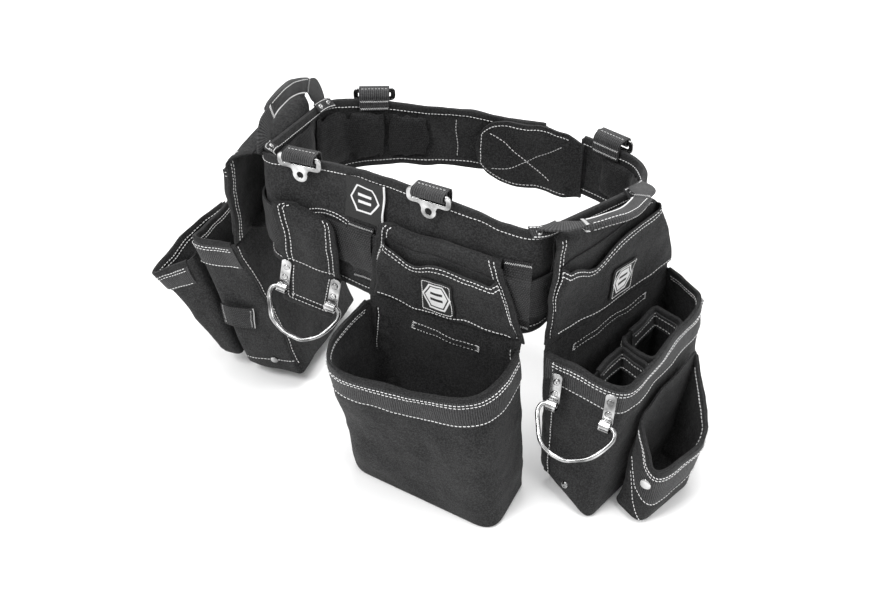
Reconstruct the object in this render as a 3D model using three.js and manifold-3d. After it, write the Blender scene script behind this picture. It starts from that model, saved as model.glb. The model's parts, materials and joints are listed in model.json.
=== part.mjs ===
// A carpenter's tool belt: a padded band with a main strap, three pouches, a hammer holder,
// carry handles and suspender rings. Millimetres, +Z up, origin in the middle of the waist
// opening at the height of the main strap's centre line. Far side (+Y) is the front closure.
import * as THREE from "three";
import { mergeVertices } from "three/addons/utils/BufferGeometryUtils.js";
import Module from "manifold-3d";

// ---------------------------------------------------------------- driving dimensions
const bandThickness = 4;
const bandBack = { top: 95, bottom: -62 }; // the band is tallest at the lumbar
const bandFront = { top: 50, bottom: -26 }; // and lowest at the closure
const lumbarAt = [-55, -105]; // plan position of the tallest section
const taperLength = 450; // along the belt, from the tallest to the lowest section
const bindingHeight = 6;
const strapWidth = 50;
const strapOut = [4.2, 6.8]; // inner and outer face of the main strap, from the band's outer face
const ribbonCount = 90; // sections in one whole turn of the belt
const wall = 2; // sewn fabric of the pouches
const thinWall = 1.2; // of the small pockets, which are one layer
const gap = 0.4; // between touching pieces
const clear = 1.1; // between pieces that follow the same bent surface
const steelThickness = 2.5;
const wireRadius = 2.4;
const webbingWidth = 38;
const webbingThickness = 1.8;

// Corners of the belt in plan, counter-clockwise: x, y and how far the round starts before it.
const beltCorners = [
  [122, -133, 24],
  [203, 38, 32],
  [180, 92, 24],
  [88, 131, 40],
  [-40, 134, 50],
  [-150, 107, 26],
  [-197, 78, 27],
  [-198, -95, 28],
  [-112, -96, 30],
  [-62, -107, 22],
];

const colours = {
  canvas: [0x1b1b1d, 0.9, 0],
  lining: [0x202022, 0.95, 0],
  webbing: [0x2a2a2c, 0.8, 0],
  binding: [0x161618, 0.75, 0],
  steel: [0xb9bbbd, 0.35, 1],
  plastic: [0x141415, 0.5, 0],
  patch: [0x9a9b9d, 0.6, 0],
};

// ---------------------------------------------------------------- making of solids
const wasm = await Module();
wasm.setup();

// Turns a closed surface so that its faces point out.
function facingOut(geometry) {
  const p = geometry.getAttribute("position");
  const index = geometry.index.array;
  const corner = (k) => new THREE.Vector3().fromBufferAttribute(p, index[k]);
  let volume = 0;
  for (let k = 0; k < index.length; k += 3) {
    volume += corner(k).dot(corner(k + 1).cross(corner(k + 2)));
  }
  if (volume < 0) {
    for (let k = 0; k < index.length; k += 3) {
      [index[k + 1], index[k + 2]] = [index[k + 2], index[k + 1]];
    }
  }
  geometry.computeVertexNormals();
  return geometry;
}

// A closed skin over a row of sections, each a loop with the same number of points. Each end
// is closed with a fan.
function loft(sections) {
  const n = sections[0].length;
  const points = sections.flat();
  const faces = [];
  for (let i = 0; i < sections.length - 1; i++) {
    for (let k = 0; k < n; k++) {
      const a = i * n + k;
      const b = i * n + ((k + 1) % n);
      const [c, d] = [b + n, a + n];
      // The shorter diagonal, so that the two faces of a thin wall bend alike.
      const short = points[a].distanceTo(points[c]) < points[b].distanceTo(points[d]);
      faces.push(...(short ? [a, b, c, a, c, d] : [a, b, d, b, c, d]));
    }
  }
  for (const i of [0, sections.length - 1]) {
    const centre = sections[i].reduce((sum, p) => sum.add(p), new THREE.Vector3());
    points.push(centre.divideScalar(n));
    for (let k = 0; k < n; k++) {
      const edge = [i * n + k, i * n + ((k + 1) % n)];
      faces.push(points.length - 1, ...(i === 0 ? edge.reverse() : edge));
    }
  }
  const geometry = new THREE.BufferGeometry().setFromPoints(points);
  geometry.setIndex(faces);
  return facingOut(geometry);
}

// three.js geometry to a manifold-3d solid and back, for cuts and joins.
function solid(geometry) {
  const bare = geometry.clone();
  bare.deleteAttribute("normal");
  bare.deleteAttribute("uv");
  const merged = mergeVertices(bare, 1e-3);
  return new wasm.Manifold(
    new wasm.Mesh({
      numProp: 3,
      vertProperties: merged.getAttribute("position").array,
      triVerts: new Uint32Array(merged.index.array),
    }),
  );
}

function geometryOf(made) {
  const mesh = made.getMesh();
  const geometry = new THREE.BufferGeometry();
  geometry.setAttribute("position", new THREE.BufferAttribute(mesh.vertProperties, 3));
  geometry.setIndex(new THREE.BufferAttribute(mesh.triVerts, 1));
  geometry.computeVertexNormals();
  return geometry;
}

// A loop with rounded corners. Each corner is [x, y, z, cut], cut being how far before and
// after the corner its round begins.
const roundSteps = 3;
function roundedLoop(corners) {
  const at = (i) => new THREE.Vector3(...corners[(i + corners.length) % corners.length]);
  return corners.flatMap(([, , , cut], i) => {
    const start = at(i).add(at(i - 1).sub(at(i)).setLength(cut));
    const end = at(i).add(at(i + 1).sub(at(i)).setLength(cut));
    return new THREE.QuadraticBezierCurve3(start, at(i), end).getPoints(roundSteps);
  });
}

// The same for a pocket, whose corners are [along the belt, out from the belt, z, cut]. Their
// order is back left, front left, front right, back right.
const pocketLoop = (corners) =>
  roundedLoop(corners.map(([along, out, z, cut]) => [along, -out, z, cut]));

// Moves each point of a counter-clockwise loop sideways, outwards for a positive distance.
function offsetLoop(loop, distance, rise = 0) {
  const n = loop.length;
  return loop.map((p, k) => {
    const along = loop[(k + 1) % n].clone().sub(loop[(k + n - 1) % n]).setZ(0).normalize();
    const move = new THREE.Vector3(along.y, -along.x, 0).multiplyScalar(distance);
    return p.clone().add(move).add(new THREE.Vector3(0, 0, rise));
  });
}

const between = (a, b, share) => a.map((p, k) => p.clone().lerp(b[k], share));

// A pocket open at the top, from its loops in order from the bottom to the rim.
function cup(loops, thickness = wall) {
  const inner = loops.map((loop, i) => offsetLoop(loop, -thickness, i === 0 ? thickness : 0));
  return loft([...loops, ...inner.reverse()]);
}

// A strip round the left, front and right of a pocket, from a low loop to a high one.
function pocketStrip(low, high, inner, outer) {
  const corners = [
    offsetLoop(low, inner),
    offsetLoop(low, outer),
    offsetLoop(high, outer),
    offsetLoop(high, inner),
  ];
  const sections = [];
  for (let k = roundSteps; k < low.length - roundSteps; k++) {
    sections.push(corners.map((loop) => loop[k].clone()));
  }
  return loft(sections);
}

// A flat outline in x and z, with holes, as thick as it says towards -Y.
function plate(outline, thickness, holes = []) {
  const shape = new THREE.Shape(outline.map(([x, z]) => new THREE.Vector2(x, z)));
  shape.holes = holes;
  const geometry = new THREE.ExtrudeGeometry(shape, {
    depth: thickness,
    bevelEnabled: false,
    curveSegments: 8,
  });
  return geometry.rotateX(Math.PI / 2);
}

// A flat outline in y (out from the belt, so -Y) and z, as long as it says along X.
function extrusion(outline, length, holes = []) {
  const shape = new THREE.Shape(outline.map(([out, z]) => new THREE.Vector2(out, z)));
  shape.holes = holes;
  const geometry = new THREE.ExtrudeGeometry(shape, {
    depth: length,
    bevelEnabled: false,
    curveSegments: 8,
  });
  // The outline's x goes to -Y, its y to Z and the depth to X.
  const turn = new THREE.Matrix4().set(0, 0, 1, -length / 2, -1, 0, 0, 0, 0, 1, 0, 0, 0, 0, 0, 1);
  return facingOut(indexed(geometry.applyMatrix4(turn)));
}

const indexed = (geometry) => {
  geometry.deleteAttribute("normal");
  geometry.deleteAttribute("uv");
  return mergeVertices(geometry, 1e-3);
};

const circle = (x, y, radius) => new THREE.Path().absarc(x, y, radius, 0, 2 * Math.PI);

function box(x, y, z, [cx, cy, cz] = [0, 0, 0]) {
  return new THREE.BoxGeometry(x, y, z).translate(cx, cy, cz);
}

const joined = (...parts) => geometryOf(parts.map(solid).reduce((a, b) => a.add(b)));
const cut = (body, ...tools) =>
  geometryOf(tools.map(solid).reduce((a, b) => a.subtract(b), solid(body)));

function material(finish) {
  const [color, roughness, metalness] = colours[finish];
  return new THREE.MeshStandardMaterial({ color, roughness, metalness });
}

const group = new THREE.Group();
function add(parent, name, geometry, finish) {
  const mesh = new THREE.Mesh(geometry, material(finish));
  mesh.name = name;
  parent.add(mesh);
  return mesh;
}

// ---------------------------------------------------------------- the belt in plan
const beltCurve = new THREE.Path();
beltCorners.forEach(([x, y, cutBack], i) => {
  const corner = new THREE.Vector2(x, y);
  const towards = (k) => {
    const [nx, ny] = beltCorners[(k + beltCorners.length) % beltCorners.length];
    return new THREE.Vector2(nx, ny).sub(corner).setLength(cutBack).add(corner);
  };
  if (i === 0) {
    const [lastX, lastY, lastCut] = beltCorners.at(-1);
    const last = new THREE.Vector2(lastX, lastY);
    const start = corner.clone().sub(last).setLength(lastCut).add(last);
    beltCurve.moveTo(start.x, start.y);
  }
  const [before, after] = [towards(i - 1), towards(i + 1)];
  beltCurve.lineTo(before.x, before.y);
  beltCurve.quadraticCurveTo(corner.x, corner.y, after.x, after.y);
});
const beltLength = beltCurve.getLength();

// A point on the belt: s along it, out from the band's outer face, z up.
function beltPoint(s, out, z) {
  const share = THREE.MathUtils.euclideanModulo(s / beltLength, 1);
  const p = beltCurve.getPoint(share);
  const t = beltCurve.getTangent(share);
  return new THREE.Vector3(p.x + t.y * out, p.y - t.x * out, z);
}

// How far along the belt the place nearest to a plan position is.
function placeNear([x, y]) {
  const target = new THREE.Vector3(x, y, 0);
  let best = 0;
  for (let s = 0; s < beltLength; s++) {
    if (beltPoint(s, 0, 0).distanceTo(target) < beltPoint(best, 0, 0).distanceTo(target)) best = s;
  }
  return best;
}

// The share of the way from the tallest section to the lowest, 0 to 1.
const lumbarPlace = placeNear(lumbarAt);
function taper(s) {
  const away = Math.abs(THREE.MathUtils.euclideanModulo(s - lumbarPlace, beltLength));
  const t = Math.min(Math.min(away, beltLength - away) / taperLength, 1);
  return (t + THREE.MathUtils.smoothstep(t, 0, 1)) / 2;
}
const topAt = (s) => THREE.MathUtils.lerp(bandBack.top, bandFront.top, taper(s));
const bottomAt = (s) => THREE.MathUtils.lerp(bandBack.bottom, bandFront.bottom, taper(s));

// A ribbon along the belt from one place to another, in plan between two distances out. All
// ribbons share their sections, so that one lies evenly on the next.
function beltRibbon(from, to, [inner, outer], low, high, profile = () => 0) {
  const step = beltLength / ribbonCount;
  const places = [from];
  for (let k = Math.ceil(from / step + 0.2); k * step < to - 0.2 * step; k++) places.push(k * step);
  places.push(to);
  const sections = places.map((s) => {
    const deep = inner - profile((s - from) / (to - from));
    return [
      beltPoint(s, deep, low(s)),
      beltPoint(s, outer, low(s)),
      beltPoint(s, outer, high(s)),
      beltPoint(s, deep, high(s)),
    ];
  });
  return loft(sections);
}

// A group standing at a place on the belt: +X along it, -Y out from it.
function stationAt(s, out = 0, z = 0) {
  const station = new THREE.Group();
  station.position.copy(beltPoint(s, out, z));
  const t = beltCurve.getTangent(THREE.MathUtils.euclideanModulo(s / beltLength, 1));
  station.rotation.z = Math.atan2(t.y, t.x);
  group.add(station);
  return station;
}

// ---------------------------------------------------------------- places along the belt
const closure = {
  bandStart: placeNear([61, 131]), // the left end of the band, behind the tongue
  tongueRoot: placeNear([112, 121]),
  tongueTip: placeNear([-21, 133]),
};
const bandEnd = closure.tongueRoot + beltLength;
const buckleAt = placeNear([12, 133]);

// ---------------------------------------------------------------- band, bindings and pads
function buildBand() {
  const { bandStart } = closure;
  const faces = [-bandThickness, 0];
  const inset = (edge, away) => (s) => edge(s) + away;
  const bandLow = inset(bottomAt, bindingHeight + clear);
  const bandHigh = inset(topAt, -bindingHeight - clear);
  add(group, "band_shell", beltRibbon(bandStart, bandEnd, faces, bandLow, bandHigh), "canvas");
  const bound = [faces[0] - 1, faces[1] + 1];
  const topBinding = beltRibbon(bandStart, bandEnd, bound, inset(topAt, -bindingHeight), topAt);
  add(group, "band_top_binding", topBinding, "binding");
  const lowBinding = beltRibbon(bandStart, bandEnd, bound, bottomAt, inset(bottomAt, bindingHeight));
  add(group, "band_bottom_binding", lowBinding, "binding");
}

// A strip of foam lobes inside the band, with an air channel between each two.
function buildPads() {
  const thinnest = 2;
  const lobeDepth = 7;
  const face = -bandThickness - clear;
  const strips = {
    pad_front_left: { from: [-80, 124], to: [-197, 42], lobes: 3 },
    pad_left: { from: [-197, 36], to: [-195, -78], lobes: 2 },
    pad_back: { from: [-170, -103], to: [104, -130], lobes: 6 },
    pad_right: { from: [132, -110], to: [196, 28], lobes: 3 },
  };
  for (const [name, { from, to, lobes }] of Object.entries(strips)) {
    const start = placeNear(from);
    const reach = THREE.MathUtils.euclideanModulo(placeNear(to) - start, beltLength);
    const profile = (share) => lobeDepth * Math.abs(Math.sin(Math.PI * lobes * share)) ** 0.6;
    const low = (s) => bottomAt(s) + 12;
    const high = (s) => topAt(s) - 14;
    const faces = [face - thinnest, face];
    add(group, name, beltRibbon(start, start + reach, faces, low, high, profile), "lining");
  }
}

// The tongue lies inside the other end of the band and is rounded at its tip.
function buildTongue() {
  const { tongueRoot, tongueTip } = closure;
  const faces = [-13, -8.5];
  const tipRound = 42;
  const [low, high] = [-36, 50];
  const round = (s) => Math.min((tongueTip - s) / tipRound, 1);
  const bulge = (s) => Math.sqrt(Math.max(1 - (1 - round(s)) ** 2, 0.04));
  const middle = (low + high) / 2;
  const half = (high - low) / 2;
  const edge = (side) => (s) => middle + side * half * bulge(s);
  const skin = beltRibbon(tongueRoot + 2, tongueTip, faces, edge(-1), edge(1));
  add(group, "closure_tongue", skin, "canvas");
}

// ---------------------------------------------------------------- main strap and buckle
// The buckle halves and the doubled end of the strap stand on the straight front of the belt,
// with +X of their group running from the prongs into the socket.
function buildStrap() {
  const half = strapWidth / 2;
  const socketEnd = 32;
  const strapEnd = -74;
  const strapFrom = buckleAt + socketEnd;
  const strapTo = buckleAt + strapEnd + beltLength;
  const strap = beltRibbon(strapFrom, strapTo, strapOut, () => -half, () => half);
  add(group, "main_strap", strap, "webbing");

  const front = stationAt(buckleAt, 8);
  const bodyDepth = 12;
  const bodyHeight = strapWidth + 8;
  const socket = cut(
    box(44, bodyDepth, bodyHeight, [7, 0, 0]),
    box(40, bodyDepth - 5, bodyHeight - 8, [1, 0, 0]),
  );
  add(front, "buckle_socket", socket, "plastic");
  const prong = (z) => box(36, 4, 12, [-16, 0, z]);
  const frame = box(14, 9, bodyHeight - 2, [-38.5, 0, 0]);
  add(front, "buckle_prongs", joined(frame, prong(-16), prong(16)), "plastic");
  add(front, "adjuster_tail", box(30, 2, strapWidth, [-62, 0, 0]), "webbing");
}

// A webbing bridge sewn to the band above and below the main strap.
function buildKeepers() {
  const inside = strapOut[1] + 1.2;
  const outside = inside + webbingThickness;
  const sewn = 1.6; // from the band to the back of the sewn ends
  const strapRoom = strapWidth / 2 + 1.5;
  const keepers = {
    keeper_back_left: { place: [-70, -105], width: 30, low: -42, high: 30 },
    keeper_back_right: { place: [105, -130], width: 30, low: -42, high: 44 },
    keeper_front: { place: [-84, 125], width: 18, low: -29, high: 30 },
  };
  for (const [name, { place, width, low, high }] of Object.entries(keepers)) {
    const outline = [
      [sewn, high], [sewn, strapRoom + 1], [inside, strapRoom], [inside, -strapRoom],
      [sewn, -strapRoom - 1], [sewn, low], [outside, low], [outside, high],
    ];
    add(stationAt(placeNear(place)), name, extrusion(outline, width), "webbing");
  }
}

// ---------------------------------------------------------------- suspender rings
// Webbing folded over the band's top edge and round the ring's top bar.
function buildSuspenderPoints() {
  const barOut = 9;
  const channel = 3.3;
  const skin = channel + webbingThickness;
  const legOut = -bandThickness - 2 * clear;
  const legDrop = 18;
  const barHeight = 4;
  const rise = 7; // of the ring's bar above the band's top edge
  const ringOutline = [
    [-24, 2], [-24, -9], [-20, -13], [-8, -13], [-8, -22], [-4.5, -27], [4.5, -27], [8, -22],
    [8, -13], [20, -13], [24, -9], [24, 2],
  ];
  const places = {
    back_left: [-141, -96],
    back_right: [12, -115],
    front_left: [-145, 106],
    front_right: [142, 108],
  };
  for (const [name, place] of Object.entries(places)) {
    const s = placeNear(place);
    const station = stationAt(s, 0, topAt(s) + rise);
    const over = extrusion(
      [[legOut - webbingThickness, channel], [barOut, channel], [barOut, skin],
        [legOut - webbingThickness, skin]],
      webbingWidth - 2,
    );
    const eye = new THREE.Shape().absarc(barOut, 0, skin, 0, 2 * Math.PI);
    eye.holes = [circle(barOut, 0, channel)];
    const loop = extrusion(eye.getPoints(8).map((p) => [p.x, p.y]), webbingWidth - 2, eye.holes);
    const leg = extrusion(
      [[legOut - webbingThickness, -legDrop], [legOut, -legDrop], [legOut, skin],
        [legOut - webbingThickness, skin]],
      webbingWidth - 2,
    );
    add(station, `suspender_loop_${name}`, joined(over, loop, leg), "webbing");
    const slot = new THREE.Path([
      [-20, -barHeight / 2], [-20, -8.5], [20, -8.5], [20, -barHeight / 2],
    ].map(([x, z]) => new THREE.Vector2(x, z)));
    const ring = plate(ringOutline, steelThickness, [slot, circle(0, -20, 4)]);
    ring.translate(0, -barOut + steelThickness / 2, 0);
    add(station, `suspender_ring_${name}`, ring, "steel");
  }
}

// ---------------------------------------------------------------- carry handles
// A flat arch in the x-z plane of its group: webbing of a width within that plane, and thick
// between two distances towards -Y.
function arch(span, height, width, [inner, outer], from = 0, to = 1) {
  const curve = new THREE.CubicBezierCurve(
    new THREE.Vector2(-span / 2, 0),
    new THREE.Vector2(-span / 2.5, height * 1.34),
    new THREE.Vector2(span / 2.5, height * 1.34),
    new THREE.Vector2(span / 2, 0),
  );
  const sections = [];
  const steps = 14;
  for (let i = 0; i <= steps; i++) {
    const share = from + ((to - from) * i) / steps;
    const p = curve.getPoint(share);
    const t = curve.getTangent(share);
    const at = (away, out) => new THREE.Vector3(p.x - t.y * away, -out, p.y + t.x * away);
    const half = width / 2;
    sections.push([at(-half, inner), at(half, inner), at(half, outer), at(-half, outer)]);
  }
  return loft(sections);
}

// Each handle turns about the line between its two sewn ends.
function buildHandles() {
  const webbing = { width: 26, thickness: 2.4 };
  const grip = { width: 30, thickness: 4, from: 0.24, to: 0.76 };
  const standOff = 5; // from the band's top edge to the line it turns about
  const handles = {
    left: { ends: [[-197, 62], [-197, -80]], height: 36, lean: 8 },
    right: { ends: [[129, -118], [190, 12]], height: 38, lean: 76 },
  };
  for (const [side, { ends, height, lean }] of Object.entries(handles)) {
    const [from, to] = ends.map(placeNear).map((s) => beltPoint(s, 0, topAt(s) + standOff));
    const along = to.clone().sub(from);
    const handle = new THREE.Group();
    handle.position.copy(from).lerp(to, 0.5);
    handle.rotation.order = "ZYX";
    handle.rotation.z = Math.atan2(along.y, along.x);
    handle.rotation.y = -Math.asin(along.z / along.length());
    handle.rotation.x = THREE.MathUtils.degToRad(lean);
    group.add(handle);
    const faces = [-webbing.thickness / 2, webbing.thickness / 2];
    const strap = arch(along.length(), height, webbing.width, faces);
    add(handle, `handle_${side}`, strap, "webbing");
    const gripFaces = [faces[1] + gap, faces[1] + gap + grip.thickness];
    const sleeve = arch(along.length(), height, grip.width, gripFaces, grip.from, grip.to);
    add(handle, `handle_grip_${side}`, sleeve, "canvas");
  }
}

// ---------------------------------------------------------------- hammer bow
// A steel wire bow whose ends turn in the curled feet of two riveted plates. The origin is the
// middle of the line that the bow turns about, and the fabric is behind it, towards +Y.
const bowWidth = 60; // between the plates' middles
function buildBow(parent, name, swing) {
  const [plateWidth, plateHeight] = [11, 34];
  const curlOuter = 5.2;
  const curlInner = wireRadius + 0.5;
  for (const [side, x] of [["left", -bowWidth / 2], ["right", bowWidth / 2]]) {
    const curl = extrusion(
      new THREE.Shape().absarc(0, 0, curlOuter, 0, 2 * Math.PI).getPoints(8).map((p) => [p.x, p.y]),
      plateWidth,
      [circle(0, 0, curlInner)],
    );
    const back = curlOuter - steelThickness / 2;
    const strip = box(plateWidth, steelThickness - 0.4, plateHeight, [0, back - 0.2, plateHeight / 2 + 3]);
    add(parent, `${name}_plate_${side}`, joined(curl, strip).translate(x, 0, 0), "steel");
  }
  const half = bowWidth / 2;
  const depth = 46;
  const left = [
    [-half + 6, 0], [-half, 0], [-half - 7.5, 0], [-half - 12, -4], [-half - 11, -14],
    [-half + 2, -depth + 10], [-10, -depth],
  ];
  const right = left.map(([x, z]) => [-x, z]).reverse();
  const route = [...left, ...right].map(([x, z]) => new THREE.Vector3(x, 0, z));
  const section = new THREE.Shape().absarc(0, 0, wireRadius, 0, 2 * Math.PI);
  const wire = new THREE.ExtrudeGeometry(new THREE.Shape(section.getPoints(4)), {
    steps: 40,
    bevelEnabled: false,
    extrudePath: new THREE.CatmullRomCurve3(route),
  });
  const turning = new THREE.Group();
  turning.rotation.x = -THREE.MathUtils.degToRad(swing);
  parent.add(turning);
  add(turning, `${name}_bow`, wire, "steel");
}

// ---------------------------------------------------------------- tunnels
// The fabric loop that holds a pouch on the main strap. The front panel is a trapezium; the
// loop behind it is only as wide as the straight stretch of the belt that it stands on.
const tunnelBack = 1.4; // from the band to the loop's back face
function tunnel({ front, low, bottom, top, core, coreTop }) {
  const fabric = 1.6;
  const [[leftLow, rightLow], [leftTop, rightTop]] = [bottom, top];
  const panel = plate([[leftLow, low], [rightLow, low], rightTop, leftTop], wall);
  panel.translate(0, -front + wall, 0);
  const depth = front - tunnelBack;
  const height = coreTop - low;
  const middle = [(core[0] + core[1]) / 2, -tunnelBack - depth / 2, low + height / 2];
  const loop = box(core[1] - core[0], depth, height, middle);
  const strapSlot = box(beltLength, depth - 2 * fabric, height - 2 * fabric, [
    middle[0], middle[1] + (wall - fabric) / 2, middle[2],
  ]);
  return geometryOf(solid(loop).subtract(solid(strapSlot)).add(solid(panel)));
}

// ---------------------------------------------------------------- hammer holder
function buildHammerHolder() {
  const front = 15;
  const low = -38;
  const station = stationAt(placeNear([-140, -96]));
  station.rotation.y = THREE.MathUtils.degToRad(11); // it hangs askew on the strap
  const sleeve = tunnel({
    front, low, bottom: [-19, 47], top: [[-42, 31], [33, 29]], core: [-9, 9], coreTop: 29,
  });
  add(station, "hammer_sleeve", sleeve, "canvas");
  const flapTop = low - gap;
  const flap = plate([[-19, flapTop], [-12, flapTop - 56], [45, flapTop - 56], [47, flapTop]], wall);
  add(station, "hammer_flap", flap.translate(0, -front + wall, 0), "canvas");
  const holder = new THREE.Group();
  holder.position.set(15, -front - 5.2 - gap, flapTop - 38);
  station.add(holder);
  buildBow(holder, "hammer_holder", 40);
}

// ---------------------------------------------------------------- pouches
const rimHeight = 4.5;

// The bound edge that sits on a pocket's rim round its left, front and right.
const rimBinding = (rim) =>
  pocketStrip(offsetLoop(rim, -wall - 1, gap), offsetLoop(rim, -wall - 1, gap + rimHeight), 0, wall + 2);

// Webbing round the outside of a pocket below its rim.
function mouthBand(loops, height, away = clear) {
  const [below, rim] = loops.slice(-2);
  const drop = rim[0].z - below[0].z;
  const low = between(rim, below, (height + 2) / drop);
  const high = between(rim, below, 2 / drop);
  return pocketStrip(low, high, away, away + webbingThickness);
}

function buildLeftPouch() {
  const station = stationAt(placeNear([-197, -12]));
  const front = 35;
  const low = -37;
  add(station, "left_tunnel", tunnel({
    front, low, bottom: [-86, 87], top: [[-84, 79], [86, 73]], core: [-54, 56], coreTop: 55,
  }), "canvas");
  const pocketBack = front + gap;
  add(station, "left_flat_pocket", cup([
    pocketLoop([[-82, pocketBack, -31, 2], [-82, 41, -31, 2], [83, 41, -31, 2], [83, pocketBack, -31, 2]]),
    pocketLoop([[-80, pocketBack, 58, 3], [-80, 46, 56, 4], [82, 46, 54, 4], [82, pocketBack, 56, 3]]),
  ], thinWall), "canvas");

  const loops = [
    pocketLoop([[-78, -31, -222, 8], [-78, 48, -222, 14], [84, 48, -222, 14], [84, -31, -222, 8]]),
    pocketLoop([[-86, 10, -100, 6], [-86, 83, -100, 14], [87, 83, -100, 14], [87, 10, -100, 6]]),
    pocketLoop([[-87, 36, -41, 6], [-87, 96, -50, 16], [88, 96, -50, 16], [88, 36, -41, 6]]),
  ];
  add(station, "left_pocket_shell", cup(loops), "canvas");
  add(station, "left_pocket_rim", rimBinding(loops.at(-1)), "binding");
  add(station, "left_pocket_band", mouthBand(loops, 32), "webbing");
  add(station, "left_outer_pocket", cup([
    pocketLoop([[38, 53, -216, 8], [40, 80, -216, 12], [84, 82, -216, 12], [82, 53, -216, 8]]),
    pocketLoop([[10, 74, -150, 8], [26, 110, -150, 18], [92, 124, -150, 20], [86, 74, -150, 8]]),
    pocketLoop([[-12, 102, -54, 8], [26, 138, -84, 20], [97, 158, -112, 22], [89, 97, -76, 8]]),
  ]), "canvas");
  add(station, "tool_tab", box(3, 42, 30, [90.5, -43, -142]), "webbing");
}

function buildCentrePouch() {
  const station = stationAt(placeNear([31.8, -118]));
  const front = 14;
  const low = -49;
  add(station, "centre_tunnel", tunnel({
    front, low, bottom: [-90, 90], top: [[-74, 48], [58, 44]], core: [-57, 55], coreTop: 43,
  }), "canvas");
  const pocketBack = front + gap;
  add(station, "centre_flat_pocket", cup([
    pocketLoop([[-84, pocketBack, -43, 2], [-84, 20, -43, 3], [84, 20, -43, 3], [84, pocketBack, -43, 2]]),
    pocketLoop([[-68, pocketBack, 35, 3], [-67, 24, 33, 4], [59, 24, 20, 4], [60, pocketBack, 22, 3]]),
  ], thinWall), "canvas");
  const patch = add(station, "centre_patch", box(38, 1.4, 40), "patch");
  patch.position.set(-4, -24, -16);
  patch.rotation.x = THREE.MathUtils.degToRad(4);

  const loops = [
    pocketLoop([[-70, 17, -240, 12], [-80, 92, -240, 26], [109, 104, -240, 26], [106, 19, -240, 12]]),
    pocketLoop([[-82, 16, -150, 10], [-90, 110, -150, 44], [104, 102, -150, 40], [99, 18, -150, 10]]),
    pocketLoop([[-92, 15, -53, 8], [-98, 130, -66, 58], [90, 98, -70, 46], [90, 15, -55, 8]]),
  ];
  add(station, "centre_pocket_shell", cup(loops), "canvas");
  add(station, "centre_pocket_rim", rimBinding(loops.at(-1)), "binding");
  add(station, "centre_pocket_band", mouthBand(loops, 30), "webbing");
}

function buildRightPouch() {
  const station = stationAt(placeNear([166.5, -39.2]));
  const front = 21;
  const low = -49;
  add(station, "right_tunnel", tunnel({
    front, low, bottom: [-100, 110], top: [[-91, 72], [66, 55]], core: [-78, 44], coreTop: 52,
  }), "canvas");
  const pocketBack = front + gap;
  add(station, "right_flat_pocket", cup([
    pocketLoop([[-94, pocketBack, -43, 2], [-94, 27, -43, 3], [104, 27, -43, 3], [104, pocketBack, -43, 2]]),
    pocketLoop([[-86, pocketBack, 42, 3], [-85, 31, 40, 4], [64, 31, 50, 4], [65, pocketBack, 52, 3]]),
  ], thinWall), "canvas");
  const patch = add(station, "right_patch", box(38, 1.4, 40), "patch");
  patch.position.set(6, -31.2, -14);
  patch.rotation.x = THREE.MathUtils.degToRad(4);

  const loops = [
    pocketLoop([[-105, 25, -214, 10], [-114, 106, -240, 16], [84, 92, -238, 16], [104, 26, -216, 10]]),
    pocketLoop([[-107, 23, -150, 8], [-98, 112, -150, 16], [84, 94, -150, 16], [107, 25, -150, 8]]),
    pocketLoop([[-108, 22, -53, 6], [-86, 112, -68, 18], [80, 93, -54, 22], [108, 22, -53, 6]]),
  ];
  add(station, "right_pocket_shell", cup(loops), "canvas");
  add(station, "right_pocket_rim", rimBinding(loops.at(-1)), "binding");
  add(station, "right_pocket_band", mouthBand(loops, 30), "webbing");
  add(station, "divider_pocket_near", cup([
    pocketLoop([[-70, 60, -196, 8], [-74, 100, -196, 10], [-14, 92, -196, 10], [-10, 54, -196, 8]]),
    pocketLoop([[-72, 56, -92, 8], [-76, 102, -94, 12], [-12, 95, -90, 12], [-8, 50, -88, 8]]),
  ], thinWall), "canvas");
  add(station, "divider_pocket_far", cup([
    pocketLoop([[-2, 50, -196, 8], [-4, 88, -196, 10], [60, 82, -196, 10], [64, 44, -196, 8]]),
    pocketLoop([[-4, 46, -86, 8], [-6, 90, -88, 12], [62, 84, -80, 12], [66, 40, -78, 8]]),
  ], thinWall), "canvas");

  const side = [
    pocketLoop([[-74, 110, -234, 8], [-80, 150, -238, 16], [12, 152, -236, 16], [22, 102, -234, 8]]),
    pocketLoop([[-66, 113, -196, 8], [-76, 152, -206, 20], [16, 156, -204, 20], [38, 102, -196, 8]]),
    pocketLoop([[-56, 114, -112, 8], [-72, 152, -172, 22], [10, 164, -166, 22], [60, 102, -98, 8]]),
  ];
  add(station, "side_pocket_shell", cup(side), "canvas");
  add(station, "side_pocket_band", mouthBand(side, 44, 3 * clear), "webbing");

  const gusset = new THREE.Group();
  gusset.position.set(-101.5, -76, -103);
  gusset.rotation.order = "ZYX";
  gusset.rotation.z = -THREE.MathUtils.degToRad(76);
  gusset.rotation.x = -THREE.MathUtils.degToRad(6);
  const lift = new THREE.Group();
  lift.position.set(0, -11, 0);
  gusset.add(lift);
  station.add(gusset);
  buildBow(lift, "pouch_hammer", 40);

  const pens = new THREE.Group();
  pens.position.set(95, -60, -110);
  pens.rotation.z = THREE.MathUtils.degToRad(69);
  station.add(pens);
  const [penDepth, penHeight] = [12, 74];
  const panel = cut(
    box(34, penDepth, penHeight, [0, -penDepth / 2 - 4, 0]),
    box(13, penDepth - 4, penHeight * 2, [-8, -penDepth / 2 - 4, 0]),
    box(13, penDepth - 4, penHeight * 2, [8, -penDepth / 2 - 4, 0]),
  );
  add(pens, "pen_loops", panel, "webbing");
}

// A woven tab sewn to the band between the hammer holder and the left back keeper.
function buildLabel() {
  const station = stationAt(placeNear([-66, -104]));
  add(station, "label_tab", box(46, 1, 50, [0, -2.2, 61]), "webbing");
}

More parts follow.
